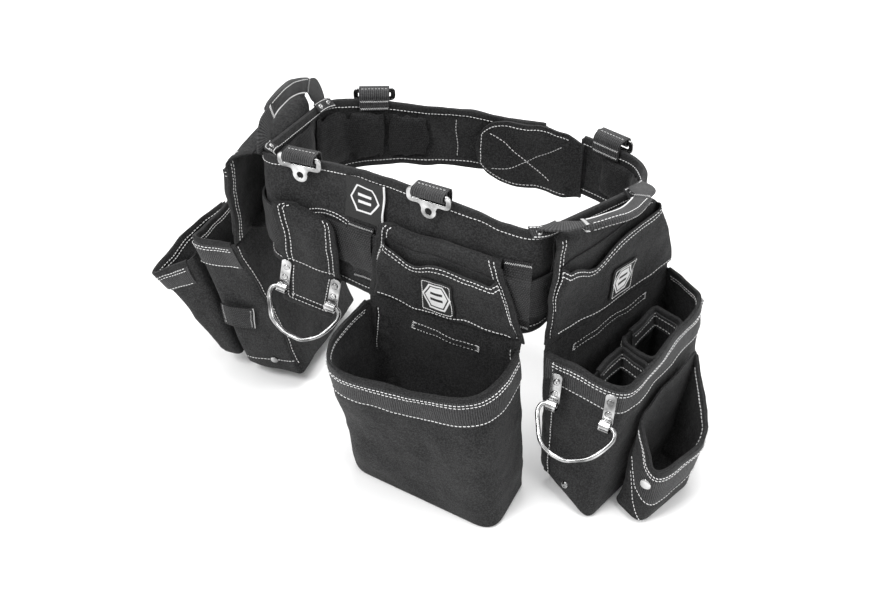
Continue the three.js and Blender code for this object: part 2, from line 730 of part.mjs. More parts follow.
buildBand();
buildPads();
buildTongue();
buildStrap();
buildKeepers();
buildSuspenderPoints();
buildHandles();
buildLabel();
buildHammerHolder();
buildLeftPouch();
buildCentrePouch();
buildRightPouch();

export default group;
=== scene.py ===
# A carpenter's tool belt, dressed in cloth, webbing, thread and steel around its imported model.
import json
import math

import bmesh
import bpy
import numpy as np
from mathutils import Matrix, Vector


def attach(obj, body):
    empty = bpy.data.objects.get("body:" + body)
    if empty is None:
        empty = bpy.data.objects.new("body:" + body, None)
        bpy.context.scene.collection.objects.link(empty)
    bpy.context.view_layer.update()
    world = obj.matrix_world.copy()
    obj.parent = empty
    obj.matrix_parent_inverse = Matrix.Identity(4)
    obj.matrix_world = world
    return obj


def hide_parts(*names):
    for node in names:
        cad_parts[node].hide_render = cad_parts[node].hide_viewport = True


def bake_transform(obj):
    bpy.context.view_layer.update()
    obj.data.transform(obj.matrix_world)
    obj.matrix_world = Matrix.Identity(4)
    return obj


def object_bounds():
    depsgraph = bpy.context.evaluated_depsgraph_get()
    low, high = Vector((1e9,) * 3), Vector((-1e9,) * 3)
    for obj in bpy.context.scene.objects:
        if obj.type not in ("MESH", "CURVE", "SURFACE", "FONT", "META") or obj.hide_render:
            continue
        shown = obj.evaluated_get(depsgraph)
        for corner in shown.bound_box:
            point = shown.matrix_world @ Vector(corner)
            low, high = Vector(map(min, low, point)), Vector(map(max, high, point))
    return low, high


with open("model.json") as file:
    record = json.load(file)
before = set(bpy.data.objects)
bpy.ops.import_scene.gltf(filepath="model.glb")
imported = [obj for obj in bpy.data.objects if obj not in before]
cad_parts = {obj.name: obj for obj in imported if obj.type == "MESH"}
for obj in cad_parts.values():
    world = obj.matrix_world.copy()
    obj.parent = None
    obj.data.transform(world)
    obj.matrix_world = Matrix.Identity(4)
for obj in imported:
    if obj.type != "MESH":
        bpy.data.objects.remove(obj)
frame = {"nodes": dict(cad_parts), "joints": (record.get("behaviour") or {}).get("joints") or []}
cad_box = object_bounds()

MM = 0.001  # every size below is in millimetres until a mesh is made


# ---------------------------------------------------------------- the belt in plan
BAND_THICKNESS = 4
BAND_BACK = (95, -62)  # top and bottom of the band at the lumbar
BAND_FRONT = (50, -26)  # and at the closure
TAPER_LENGTH = 450
STRAP_HALF = 25
BELT_CORNERS = [
    (122, -133, 24), (203, 38, 32), (180, 92, 24), (88, 131, 40), (-40, 134, 50),
    (-150, 107, 26), (-197, 78, 27), (-198, -95, 28), (-112, -96, 30), (-62, -107, 22),
]


def unit(v):
    v = np.asarray(v, float)
    return v / np.maximum(np.linalg.norm(v, axis=-1, keepdims=True), 1e-9)


def run_along(path):
    """How far along a path each of its points lies."""
    return np.r_[0, np.cumsum(np.linalg.norm(np.diff(path, axis=0), axis=1))]


def turns(count):
    """Angles at even steps round a full turn."""
    return np.linspace(0, 2 * math.pi, count, endpoint=False)


def bezier(a, b, c, t):
    t = np.asarray(t)[..., None]
    return (1 - t) ** 2 * a + 2 * t * (1 - t) * b + t ** 2 * c


def ease(t):
    """From 0 to 1, slow at both ends."""
    t = np.clip(t, 0, 1)
    return t * t * (3 - 2 * t)


def rounded_outline(corners, steps=6):
    """A closed outline from corners [x, z, cut]: cut is how far each corner's round reaches."""
    corners = np.array(corners, float)
    out = []
    for i, (*here, cut) in enumerate(corners):
        before = here + unit(corners[i - 1, :2] - here) * cut
        after = here + unit(corners[(i + 1) % len(corners), :2] - here) * cut
        out.extend(bezier(before, np.array(here), after, np.linspace(0, 1, steps + 1)))
    return np.array(out)


class Belt:
    """The belt's outer face in plan, a closed run of straight stretches and rounds."""

    def __init__(self):
        points = rounded_outline(BELT_CORNERS, 24)
        points = np.vstack([points[-1], points])
        self.run, self.points = run_along(points), points
        self.length = self.run[-1]
        self.lumbar = self.near((-55, -105))

    def plan(self, s):
        s = np.mod(s, self.length)
        return np.stack([np.interp(s, self.run, self.points[:, k]) for k in (0, 1)], -1)

    def tangent(self, s):
        return unit(self.plan(np.asarray(s) + 0.5) - self.plan(np.asarray(s) - 0.5))

    def at(self, s, out, z):
        """Points s along the belt, out from its outer face, z up."""
        s, out, z = np.broadcast_arrays(*(np.asarray(v, float) for v in (s, out, z)))
        p, t = self.plan(s), self.tangent(s)
        return np.stack([p[..., 0] + t[..., 1] * out, p[..., 1] - t[..., 0] * out, z], -1)

    def near(self, place):
        s = np.arange(0, self.length)
        return float(s[np.argmin(np.linalg.norm(self.plan(s) - np.array(place), axis=1))])

    def taper(self, s):
        away = np.mod(s - self.lumbar, self.length)
        t = np.minimum(np.minimum(away, self.length - away) / TAPER_LENGTH, 1)
        return (t + ease(t)) / 2

    def top(self, s):
        return BAND_BACK[0] + (BAND_FRONT[0] - BAND_BACK[0]) * self.taper(s)

    def bottom(self, s):
        return BAND_BACK[1] + (BAND_FRONT[1] - BAND_BACK[1]) * self.taper(s)

    def station(self, place, out=0, z=0):
        """The place of a group on the belt: +X along it, -Y out from it."""
        s = self.near(place)
        t = self.tangent(s)
        m = Matrix.Rotation(math.atan2(t[1], t[0]), 4, "Z")
        m.translation = Vector(self.at(s, out, z))
        return m


belt = Belt()
CLOSURE_START = belt.near((61, 131))
TONGUE_ROOT = belt.near((112, 121))
TONGUE_TIP = belt.near((-21, 133))
BAND_END = TONGUE_ROOT + belt.length
BUCKLE_AT = belt.near((12, 133))


def placed(matrix, p):
    m = np.array(matrix)
    return np.asarray(p, float) @ m[:3, :3].T + m[:3, 3]


def turned(matrix, v):
    return np.asarray(v, float) @ np.array(matrix)[:3, :3].T


def outward(matrix):
    """The way out from the belt at a place."""
    return turned(matrix, (0, -1, 0))


# ---------------------------------------------------------------- how cloth lies unevenly
def ripple(p, seed, wavelength):
    """A smooth uneven value between about -1 and 1 at every point."""
    count = 7
    rng = np.random.RandomState(seed)
    way = unit(rng.normal(size=(count, 3)))
    k = way * 2 * math.pi / (wavelength * rng.uniform(0.7, 1.4, (count, 1)))
    phase = rng.uniform(0, 2 * math.pi, count)
    return np.sin(np.asarray(p) @ k.T + phase).sum(-1) / math.sqrt(count)


SHIFTS = ((1.4, 3, 105), (0.85, 13, 46), (0.28, 23, 21))  # how far, a seed and the wavelength
STILL = (("bow_lift", 46), ("handle_fold", 90), ("ring", 26), ("tongue_fold", 46))  # half lengths
STILL_NEAR, STILL_FAR = 12, 45  # nothing is shifted nearer than the first


def still_lines():
    """The joint lines round which nothing is shifted, so that what turns there keeps its line."""
    for joint in frame["joints"]:
        for part, half in STILL:
            if part in joint["name"]:
                yield np.array(joint["pos_m"]) / MM, unit(joint["axis"]), half


def shift_share(p):
    """How much of the shift each point takes: none at the floor or round a joint line."""
    share = ease((p[..., 2] - cad_box[0][2] / MM) / 30)
    for middle, along, half in still_lines():
        run = np.clip((p - middle) @ along, -half, half)
        away = np.linalg.norm(p - middle - run[..., None] * along, axis=-1)
        share = np.minimum(share, ease((away - STILL_NEAR) / (STILL_FAR - STILL_NEAR)))
    return share


def uneven(p):
    """Moves soft goods by a smooth field, so that what is sewn together stays together."""
    p = np.asarray(p, float)
    shift = [sum(far * ripple(p, seed + k, wavelength) for far, seed, wavelength in SHIFTS)
             for k in range(3)]
    return p + shift_share(p)[..., None] * np.stack(shift, -1)


# ---------------------------------------------------------------- meshes
def linked(name, data):
    """A new object in the scene."""
    obj = bpy.data.objects.new(name, data)
    bpy.context.scene.collection.objects.link(obj)
    return obj


def piece(name, points, faces, look, body, cloth=None, soft=True, stands_for=()):
    """One visible piece, from points in millimetres. cloth is each point's place on the cloth."""
    points = np.asarray(points, float).reshape(-1, 3)
    if soft:
        points = uneven(points)
    mesh = bpy.data.meshes.new(name)
    mesh.from_pydata([tuple(p) for p in points * MM], [], [tuple(int(i) for i in f) for f in faces])
    mesh.validate()
    faces_out(mesh)
    if cloth is None:
        cloth = points
    layer = mesh.attributes.new("cloth", "FLOAT_VECTOR", "POINT")
    flat = np.zeros((len(points), 3), np.float32)
    cloth = np.asarray(cloth, float).reshape(len(points), -1)
    flat[:, : cloth.shape[1]] = cloth
    layer.data.foreach_set("vector", flat.ravel())
    mesh.shade_smooth()
    mesh.set_sharp_from_angle(angle=math.radians(42))
    obj = linked(name, mesh)
    mesh.materials.append(LOOKS[look][0])
    if isinstance(body, tuple):  # two bodies and two places, none of which is used: the piece follows no body
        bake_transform(obj)
    else:
        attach(obj, body)
    if stands_for:
        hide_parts(*stands_for)
    return obj


def faces_out(mesh, join=0.0):
    """Turns a mesh's faces outward, once its points closer than join metres are one."""
    bm = bmesh.new()
    bm.from_mesh(mesh)
    if join:
        bmesh.ops.remove_doubles(bm, verts=bm.verts, dist=join)
    bmesh.ops.recalc_face_normals(bm, faces=bm.faces)
    bm.to_mesh(mesh)
    bm.free()
    mesh.update()


def quads(rows, cols, wrap=False, start=0, flip=False):
    faces = []
    for i in range(rows - 1):
        for k in range(cols if wrap else cols - 1):
            a, b = i * cols + k, i * cols + (k + 1) % cols
            face = [a, b, b + cols, a + cols]
            faces.append([start + v for v in (face[::-1] if flip else face)])
    return faces


def caps(rows, cols, start=0):
    """The two end faces of a form made of rows of points."""
    last = start + (rows - 1) * cols
    return [list(range(start, start + cols))[::-1], list(range(last, last + cols))]


def grid_of(x, y, z):
    """A grid of points from what its coordinates are along the rows, the columns or both."""
    return np.stack(np.broadcast_arrays(*(np.asarray(v, float) for v in (x, y, z))), -1)


def grid_normals(grid):
    return unit(np.cross(np.gradient(grid, axis=0), np.gradient(grid, axis=1)))


def grid_lengths(grid):
    """The place of each grid point on the flat cloth: along the rows, and down the columns."""
    along = np.linalg.norm(np.diff(grid, axis=1), axis=2).mean(0)
    down = np.linalg.norm(np.diff(grid, axis=0), axis=2).mean(1)
    u, v = np.meshgrid(np.r_[0, np.cumsum(along)], np.r_[0, np.cumsum(down)])
    return np.stack([u, v], -1)


def sheet(name, grid, thickness, look, body, cloth=None, **more):
    """Cloth over a grid of points, as thick as it says to the back of the grid's normals."""
    grid = np.asarray(grid, float)
    rows, cols = grid.shape[:2]
    back = grid - grid_normals(grid) * thickness
    if cloth is None:
        cloth = grid_lengths(grid)
    faces = quads(rows, cols, flip=True) + quads(rows, cols, start=rows * cols)
    n = rows * cols
    for i in range(rows - 1):
        for k, turn in ((0, False), (cols - 1, True)):
            a, b = i * cols + k, (i + 1) * cols + k
            face = [a, b, b + n, a + n]
            faces.append(face[::-1] if turn else face)
    for k in range(cols - 1):
        for i, turn in ((0, True), (rows - 1, False)):
            a, b = i * cols + k, i * cols + k + 1
            face = [a, b, b + n, a + n]
            faces.append(face[::-1] if turn else face)
    points = np.vstack([grid.reshape(-1, 3), back.reshape(-1, 3)])
    flat = np.vstack([cloth.reshape(-1, 2), cloth.reshape(-1, 2)])
    return piece(name, points, faces, look, body, flat, **more)


def swept(name, path, across, up, half, look, body, sides=12, power=0.55, **more):
    """A rounded tape along a path: half its thickness along across, half its width along up."""
    path = np.asarray(path, float)
    across, up = (np.broadcast_to(v, path.shape) for v in (across, up))
    turn = turns(sides)
    c, s = np.cos(turn), np.sin(turn)
    a = half[0] * np.sign(c) * np.abs(c) ** power
    b = half[1] * np.sign(s) * np.abs(s) ** power
    points = path[:, None] + across[:, None] * a[None, :, None] + up[:, None] * b[None, :, None]
    n = len(path)
    faces = quads(n, sides, wrap=True) + caps(n, sides)
    run = run_along(path)
    flat = np.stack(np.broadcast_arrays(run[:, None], b[None, :]), -1)
    return piece(name, points, faces, look, body, flat, **more)


def resampled(path, step, *others):
    """A path, and what goes with it, at even steps."""
    path = np.asarray(path, float)
    run = run_along(path)
    count = max(int(round(run[-1] / step)), 2)
    places = np.linspace(0, run[-1], count + 1)
    return [np.stack([np.interp(places, run, v[:, k]) for k in range(3)], -1)
            for v in (path, *others)]


# one stitch: how far along it, how thick and how high each of its four rings is
STITCH = ((-0.5, 0.35, -0.3), (-0.33, 1, 0.1), (0.33, 1, 0.1), (0.5, 0.35, -0.3))


class Thread:
    """All the thread of one body, gathered into one piece: stitches, bartacks and zigzags."""

    look = "thread"

    def __init__(self, name, body):
        self.name, self.body = name, body
        self.points, self.faces, self.flat = [], [], []
        self.count = 0

    def add(self, points, faces, flat):
        self.points.append(np.asarray(points, float).reshape(-1, 3))
        self.flat.append(np.asarray(flat, float).reshape(-1, 2))
        self.faces.extend([[v + self.count for v in f] for f in faces])
        self.count += len(self.points[-1])

    def row(self, path, normal, pitch=4.2, length=2.9, width=0.95, lift=0.25):
        """A row of separate stitches on a path, with the cloth's normal."""
        path = np.asarray(path, float)
        normal = unit(np.broadcast_to(normal, path.shape))
        path, normal = resampled(path, pitch, normal)
        along = unit(np.gradient(path, axis=0))
        turn = turns(6)
        for p, t, n in zip(path[:-1] + np.diff(path, axis=0) / 2, along, unit(normal)):
            side = np.cross(n, t)
            wide, high = np.cos(turn)[:, None] * width / 2, np.sin(turn)[:, None] * width / 2.6
            ring = side * wide + n * high
            rings = [p + t * length * reach + n * (lift + low * 0.6) + ring * size
                     for reach, size, low in STITCH]
            faces = quads(4, 6, wrap=True) + caps(4, 6)
            self.add(np.array(rings), faces, np.repeat([[0.0, 0], [1, 0], [2, 0], [3, 0]], 6, 0))

    def line(self, path, normal, width=1.0, lift=0.3, sides=5):
        """One continuous thread."""
        path = np.asarray(path, float)
        normal = unit(np.broadcast_to(normal, path.shape))
        t = unit(np.gradient(path, axis=0))
        side = unit(np.cross(normal, t))
        turn = turns(sides)
        ring = (
            side[:, None] * (np.cos(turn) * width / 2)[None, :, None]
            + normal[:, None] * (np.sin(turn) * width / 2.4 + lift)[None, :, None]
        )
        n = len(path)
        faces = quads(n, sides, wrap=True) + caps(n, sides)
        run = run_along(path)
        self.add(path[:, None] + ring, faces,
                 np.stack(np.broadcast_arrays(run[:, None], turn[None]), -1))

    def tack(self, start, end, normal, width=3.2, pitch=0.9, thick=0.8):
        """A bartack: a dense zigzag between two points."""
        start, end = np.asarray(start, float), np.asarray(end, float)
        normal = unit(normal)
        side = unit(np.cross(normal, end - start)) * width / 2
        count = max(int(np.linalg.norm(end - start) / pitch), 4)
        steps = np.linspace(0, 1, count)[:, None]
        zig = start + (end - start) * steps + side * np.where(np.arange(count) % 2, 1, -1)[:, None]
        self.line(zig, normal, thick, 0.45, 4)

    def make(self):
        piece(self.name, np.vstack(self.points), self.faces, self.look, self.body,
              np.vstack(self.flat))


class Metal(Thread):
    """Rivets of one body, gathered into one piece."""

    look = "steel"
    # the radius and the height of each ring of a rivet's head, as shares of its own
    profile = [(1.0, -0.8), (1.02, 0.25), (0.9, 0.62), (0.62, 0.88), (0.34, 0.95), (0.25, 0.8),
               (0.1, 0.8)]

    def rivet(self, centre, normal, radius=4.2, height=1.6):
        n = unit(normal)
        side = unit(np.cross(n, [0.31, 0.2, 0.93]))
        other = np.cross(n, side)
        turn = turns(20)
        ring = np.cos(turn)[:, None] * side + np.sin(turn)[:, None] * other
        points = np.vstack([centre + ring * radius * r + n * height * h for r, h in self.profile])
        faces = quads(len(self.profile), 20, wrap=True) + caps(len(self.profile), 20)
        self.add(points, faces, points[:, :2])


# ---------------------------------------------------------------- materials
class Nodes:
    """A short way to write a node tree."""

    def __init__(self, name):
        self.material = bpy.data.materials.new(name)
        self.material.use_nodes = True
        self.tree = self.material.node_tree
        self.shader = self.tree.nodes["Principled BSDF"]

    def put(self, into, value):
        if isinstance(value, bpy.types.NodeSocket):
            self.tree.links.new(value, into)
        else:
            into.default_value = value

    def math(self, operation, a, b=0.0, clamp=False):
        node = self.tree.nodes.new("ShaderNodeMath")
        node.operation, node.use_clamp = operation, clamp
        self.put(node.inputs[0], a)
        self.put(node.inputs[1], b)
        return node.outputs[0]

    def times(self, a, b, clamp=False):
        return self.math("MULTIPLY", a, b, clamp)

    def plus(self, a, b, clamp=False):
        return self.math("ADD", a, b, clamp)

    def above(self, value, floor, gain):
        """How far a value is over a floor, times a gain, from 0 to 1."""
        return self.times(self.math("SUBTRACT", value, floor, clamp=True), gain, clamp=True)

    def shade(self, colour, roughness, normal=None, **constants):
        """Sets the shader's sockets. A constant has its socket's name, with _ for each space."""
        sockets = {"Base Color": colour, "Roughness": roughness, "Normal": normal}
        sockets.update((name.replace("_", " "), value) for name, value in constants.items())
        for name, value in sockets.items():
            if value is not None:
                self.put(self.shader.inputs[name], value)
        return self.material

    def mix(self, share, a, b):
        node = self.tree.nodes.new("ShaderNodeMix")
        node.data_type = "RGBA"
        self.put(node.inputs["Factor"], share)
        self.put(node.inputs[6], a)
        self.put(node.inputs[7], b)
        return node.outputs[2]

    def cloth(self):
        node = self.tree.nodes.new("ShaderNodeAttribute")
        node.attribute_name = "cloth"
        split = self.tree.nodes.new("ShaderNodeSeparateXYZ")
        self.put(split.inputs[0], node.outputs["Vector"])
        return split.outputs[0], split.outputs[1]

    def noise(self, scale, detail=3.0, stretch=(1, 1, 1)):
        place = self.tree.nodes.new("ShaderNodeTexCoord").outputs["Object"]
        mapping = self.tree.nodes.new("ShaderNodeMapping")
        self.put(mapping.inputs["Vector"], place)
        mapping.inputs["Scale"].default_value = stretch
        node = self.tree.nodes.new("ShaderNodeTexNoise")
        self.put(node.inputs["Vector"], mapping.outputs[0])
        node.inputs["Scale"].default_value = scale
        node.inputs["Detail"].default_value = detail
        return node.outputs["Fac"]

    def wave(self, place, pitch):
        """A value from 0 to 1 that repeats every pitch millimetres."""
        turn = self.math("SINE", self.times(place, 2 * math.pi / pitch))
        return self.plus(self.times(turn, 0.5), 0.5)

    def bump(self, height, distance, strength=1.0, under=None):
        node = self.tree.nodes.new("ShaderNodeBump")
        node.inputs["Strength"].default_value = strength
        node.inputs["Distance"].default_value = distance
        self.put(node.inputs["Height"], height)
        if under is not None:
            self.put(node.inputs["Normal"], under)
        return node.outputs[0]


def grey(v, tint=0.0):
    return (v, v, v * (1 + tint), 1)


def woven(name, dark, light, pitch, depth, kind="plain", roughness=0.8, worn=0.3, mottle=0.35):
    """Cloth woven at a pitch in millimetres. kind is plain, rib, tape or net."""
    n = Nodes(name)
    u, v = n.cloth()
    if kind == "rib":
        weave = n.times(n.wave(u, pitch), n.plus(n.times(n.wave(v, pitch * 0.8), 0.35), 0.65))
    elif kind == "tape":
        weave = n.times(n.wave(v, pitch), n.plus(n.times(n.wave(u, pitch * 1.3), 0.5), 0.5))
    elif kind == "net":
        weave = n.times(n.wave(n.plus(u, n.times(v, 0.6)), pitch), n.wave(v, pitch))
    else:
        half = pitch / 2
        weave = n.plus(n.times(n.wave(u, pitch), n.wave(v, pitch)),
                       n.times(n.wave(n.plus(u, half), pitch), n.wave(n.plus(v, half), pitch)))
    fuzz = n.noise(900, 2)
    grain = n.above(n.noise(620, 2), 0.38, 3.6)
    share = n.plus(n.times(weave, 1 - mottle), n.times(grain, mottle), clamp=True)
    colour = n.mix(share, grey(dark, 0.04), grey(light, 0.03))
    dust = n.above(n.noise(18, 4), 0.45, worn * 2)
    fine = n.bump(n.plus(weave, n.times(fuzz, 0.5)), depth * MM, 0.9)
    return n.shade(n.mix(dust, colour, grey(light * 1.8)),
                   n.plus(n.times(fuzz, 0.12), roughness - 0.06),
                   n.bump(n.noise(40, 2), 4.5 * MM, 0.8, fine),
                   Sheen_Weight=0.06, Sheen_Roughness=0.45, Specular_IOR_Level=0.2)


def steel(name):
    n = Nodes(name)
    scratch = n.noise(700, 3, (1, 1, 0.08))
    patches = n.above(n.noise(70, 2), 0.32, 2.6)
    return n.shade(n.mix(patches, grey(0.14), grey(0.62)), n.plus(n.times(scratch, 0.2), 0.12),
                   n.bump(scratch, 0.05 * MM, 0.35), Metallic=1.0)


def moulded(name, value):
    n = Nodes(name)
    grain = n.noise(1400, 2)
    return n.shade(n.mix(n.noise(40, 3), grey(value), grey(value * 1.7)),
                   n.plus(n.times(grain, 0.2), 0.38), n.bump(grain, 0.08 * MM, 0.4))


def thread(name, value):
    n = Nodes(name)
    u, v = n.cloth()
    twist = n.wave(n.plus(u, n.times(v, 0.5)), 0.9)
    return n.shade(n.mix(twist, grey(value * 0.72), grey(value)),
                   n.plus(n.times(n.noise(300), 0.2), 0.5),
                   n.bump(twist, 0.1 * MM, 0.6), Sheen_Weight=0.3)


def emblem(name, cloth_value, mark_value, filled):
    """A woven patch with a generic mark: a hexagon round two bars. cloth is centred on it."""
    n = Nodes(name)
    u, v = n.cloth()

    def within(value, low, high):
        return n.times(n.math("GREATER_THAN", value, low), n.math("LESS_THAN", value, high))

    wide, flat = n.math("ABSOLUTE", u), n.math("ABSOLUTE", v)
    reach = n.math("MAXIMUM", flat, n.plus(n.times(wide, 0.866), n.times(flat, 0.5)))
    bar = n.times(n.math("LESS_THAN", wide, 7.5), within(flat, 2.2, 5.4))
    if filled:
        bar = n.times(n.math("LESS_THAN", reach, 11.8), n.math("SUBTRACT", 1.0, bar))
    mark = n.math("MAXIMUM", within(reach, 13.2, 15.2), bar)
    weave = n.wave(n.plus(u, v), 1.0)
    cloth = n.mix(weave, grey(cloth_value * 0.7), grey(cloth_value))
    return n.shade(n.mix(mark, cloth, grey(mark_value)), n.plus(n.times(n.noise(400), 0.2), 0.6),
                   n.bump(n.plus(n.times(mark, 2.0), weave), 0.2 * MM, 0.7))


def paper(name, value):
    n = Nodes(name)
    return n.shade(n.mix(n.noise(6, 2), grey(value * 0.985), grey(value)), 0.9)


LOOKS = {
    "canvas": (woven("black_canvas", 0.002, 0.034, 1.5, 0.25, worn=0.4, mottle=0.75), "canvas"),
    "inside": (woven("coated_canvas", 0.002, 0.02, 1.5, 0.15, roughness=0.75, worn=0.2, mottle=0.7),
               "canvas"),
    "binding": (woven("binding_tape", 0.002, 0.03, 1.2, 0.25, "tape", 0.75, mottle=0.6),
                "edge_binding"),
    "webbing": (woven("ribbed_webbing", 0.002, 0.07, 2.4, 0.7, "rib", 0.6), "ribbed_webbing"),
    "strap": (woven("strap_webbing", 0.002, 0.05, 2.6, 0.6, "net", 0.6), "strap_webbing"),
    "lining": (woven("foam_lining", 0.002, 0.03, 2.6, 0.3, "net", 0.8, 0.2, 0.6), "foam_lining"),
    "thread": (thread("pale_thread", 0.8), "edge_binding"),
    "steel": (steel("satin_steel"), "steel_hardware"),
    "plastic": (moulded("moulded_plastic", 0.018), "buckle_plastic"),
    "emblem": (emblem("woven_emblem", 0.012, 0.7, False), "emblem_patch"),
    "badge": (emblem("woven_badge", 0.012, 0.7, True), "emblem_patch"),
}


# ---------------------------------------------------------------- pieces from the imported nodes
def refined(name, node, look, body, bevel, place, segments=2):
    """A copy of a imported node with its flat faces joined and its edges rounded."""
    bm = bmesh.new()
    bm.from_mesh(frame["nodes"][node].data)
    bmesh.ops.remove_doubles(bm, verts=bm.verts, dist=1e-5)
    bmesh.ops.dissolve_limit(bm, angle_limit=math.radians(1.5), verts=bm.verts, edges=bm.edges)
    edges = [e for e in bm.edges if len(e.link_faces) == 2
             and e.calc_face_angle() > math.radians(24)]
    bmesh.ops.bevel(
        bm, geom=edges, offset=bevel * MM, segments=segments, profile=0.6, affect="EDGES",
        clamp_overlap=True,
    )
    bmesh.ops.triangulate(bm, faces=[f for f in bm.faces if len(f.verts) > 4])
    points = np.array([v.co for v in bm.verts]) / MM
    bm.verts.index_update()
    faces = [[v.index for v in f.verts] for f in bm.faces]
    bm.free()
    local = placed(place.inverted(), points)
    cloth = np.stack([local[:, 0] + local[:, 1], local[:, 2]], -1)
    piece(name, points, faces, look, body, cloth, soft=False, stands_for=(node,))


def stamped(name, outlines, thickness, bevel, place, body, node):
    """A flat steel plate in its place's x-z plane, centred in y: an outline and its holes."""
    curve = bpy.data.curves.new(name, "CURVE")
    curve.dimensions, curve.fill_mode = "2D", "BOTH"
    curve.extrude = thickness / 2 - bevel
    curve.bevel_depth, curve.bevel_resolution = bevel, 2
    for outline in outlines:
        spline = curve.splines.new("POLY")
        spline.points.add(len(outline) - 1)
        for point, (x, z) in zip(spline.points, outline):
            point.co = (x, z, 0, 1)
        spline.use_cyclic_u = True
    holder = linked(name + "_curve", curve)
    bpy.context.view_layer.update()
    mesh = holder.to_mesh()
    flat = np.array([v.co for v in mesh.vertices])
    faces = [list(p.vertices) for p in mesh.polygons]
    holder.to_mesh_clear()
    bpy.data.objects.remove(holder)
    bpy.data.curves.remove(curve)
    points = placed(place, np.stack([flat[:, 0], -flat[:, 2], flat[:, 1]], -1))
    made = piece(name, points, faces, "steel", body, flat[:, :2], soft=False, stands_for=(node,))
    faces_out(made.data, join=2e-6)
    made.data.shade_smooth()
    made.data.set_sharp_from_angle(angle=math.radians(35))


def smooth_path(points, steps=10):
    """A curve through every point."""
    p = np.asarray(points, float)
    p = np.vstack([2 * p[0] - p[1], p, 2 * p[-1] - p[-2]])
    out = []
    for a, b, c, d in zip(p[:-3], p[1:-2], p[2:-1], p[3:]):
        t = np.linspace(0, 1, steps, endpoint=False)[:, None]
        out.append(0.5 * (2 * b + (c - a) * t + (2 * a - 5 * b + 4 * c - d) * t ** 2
                          + (3 * b - a - 3 * c + d) * t ** 3))
    return np.vstack(out + [p[-2:-1]])


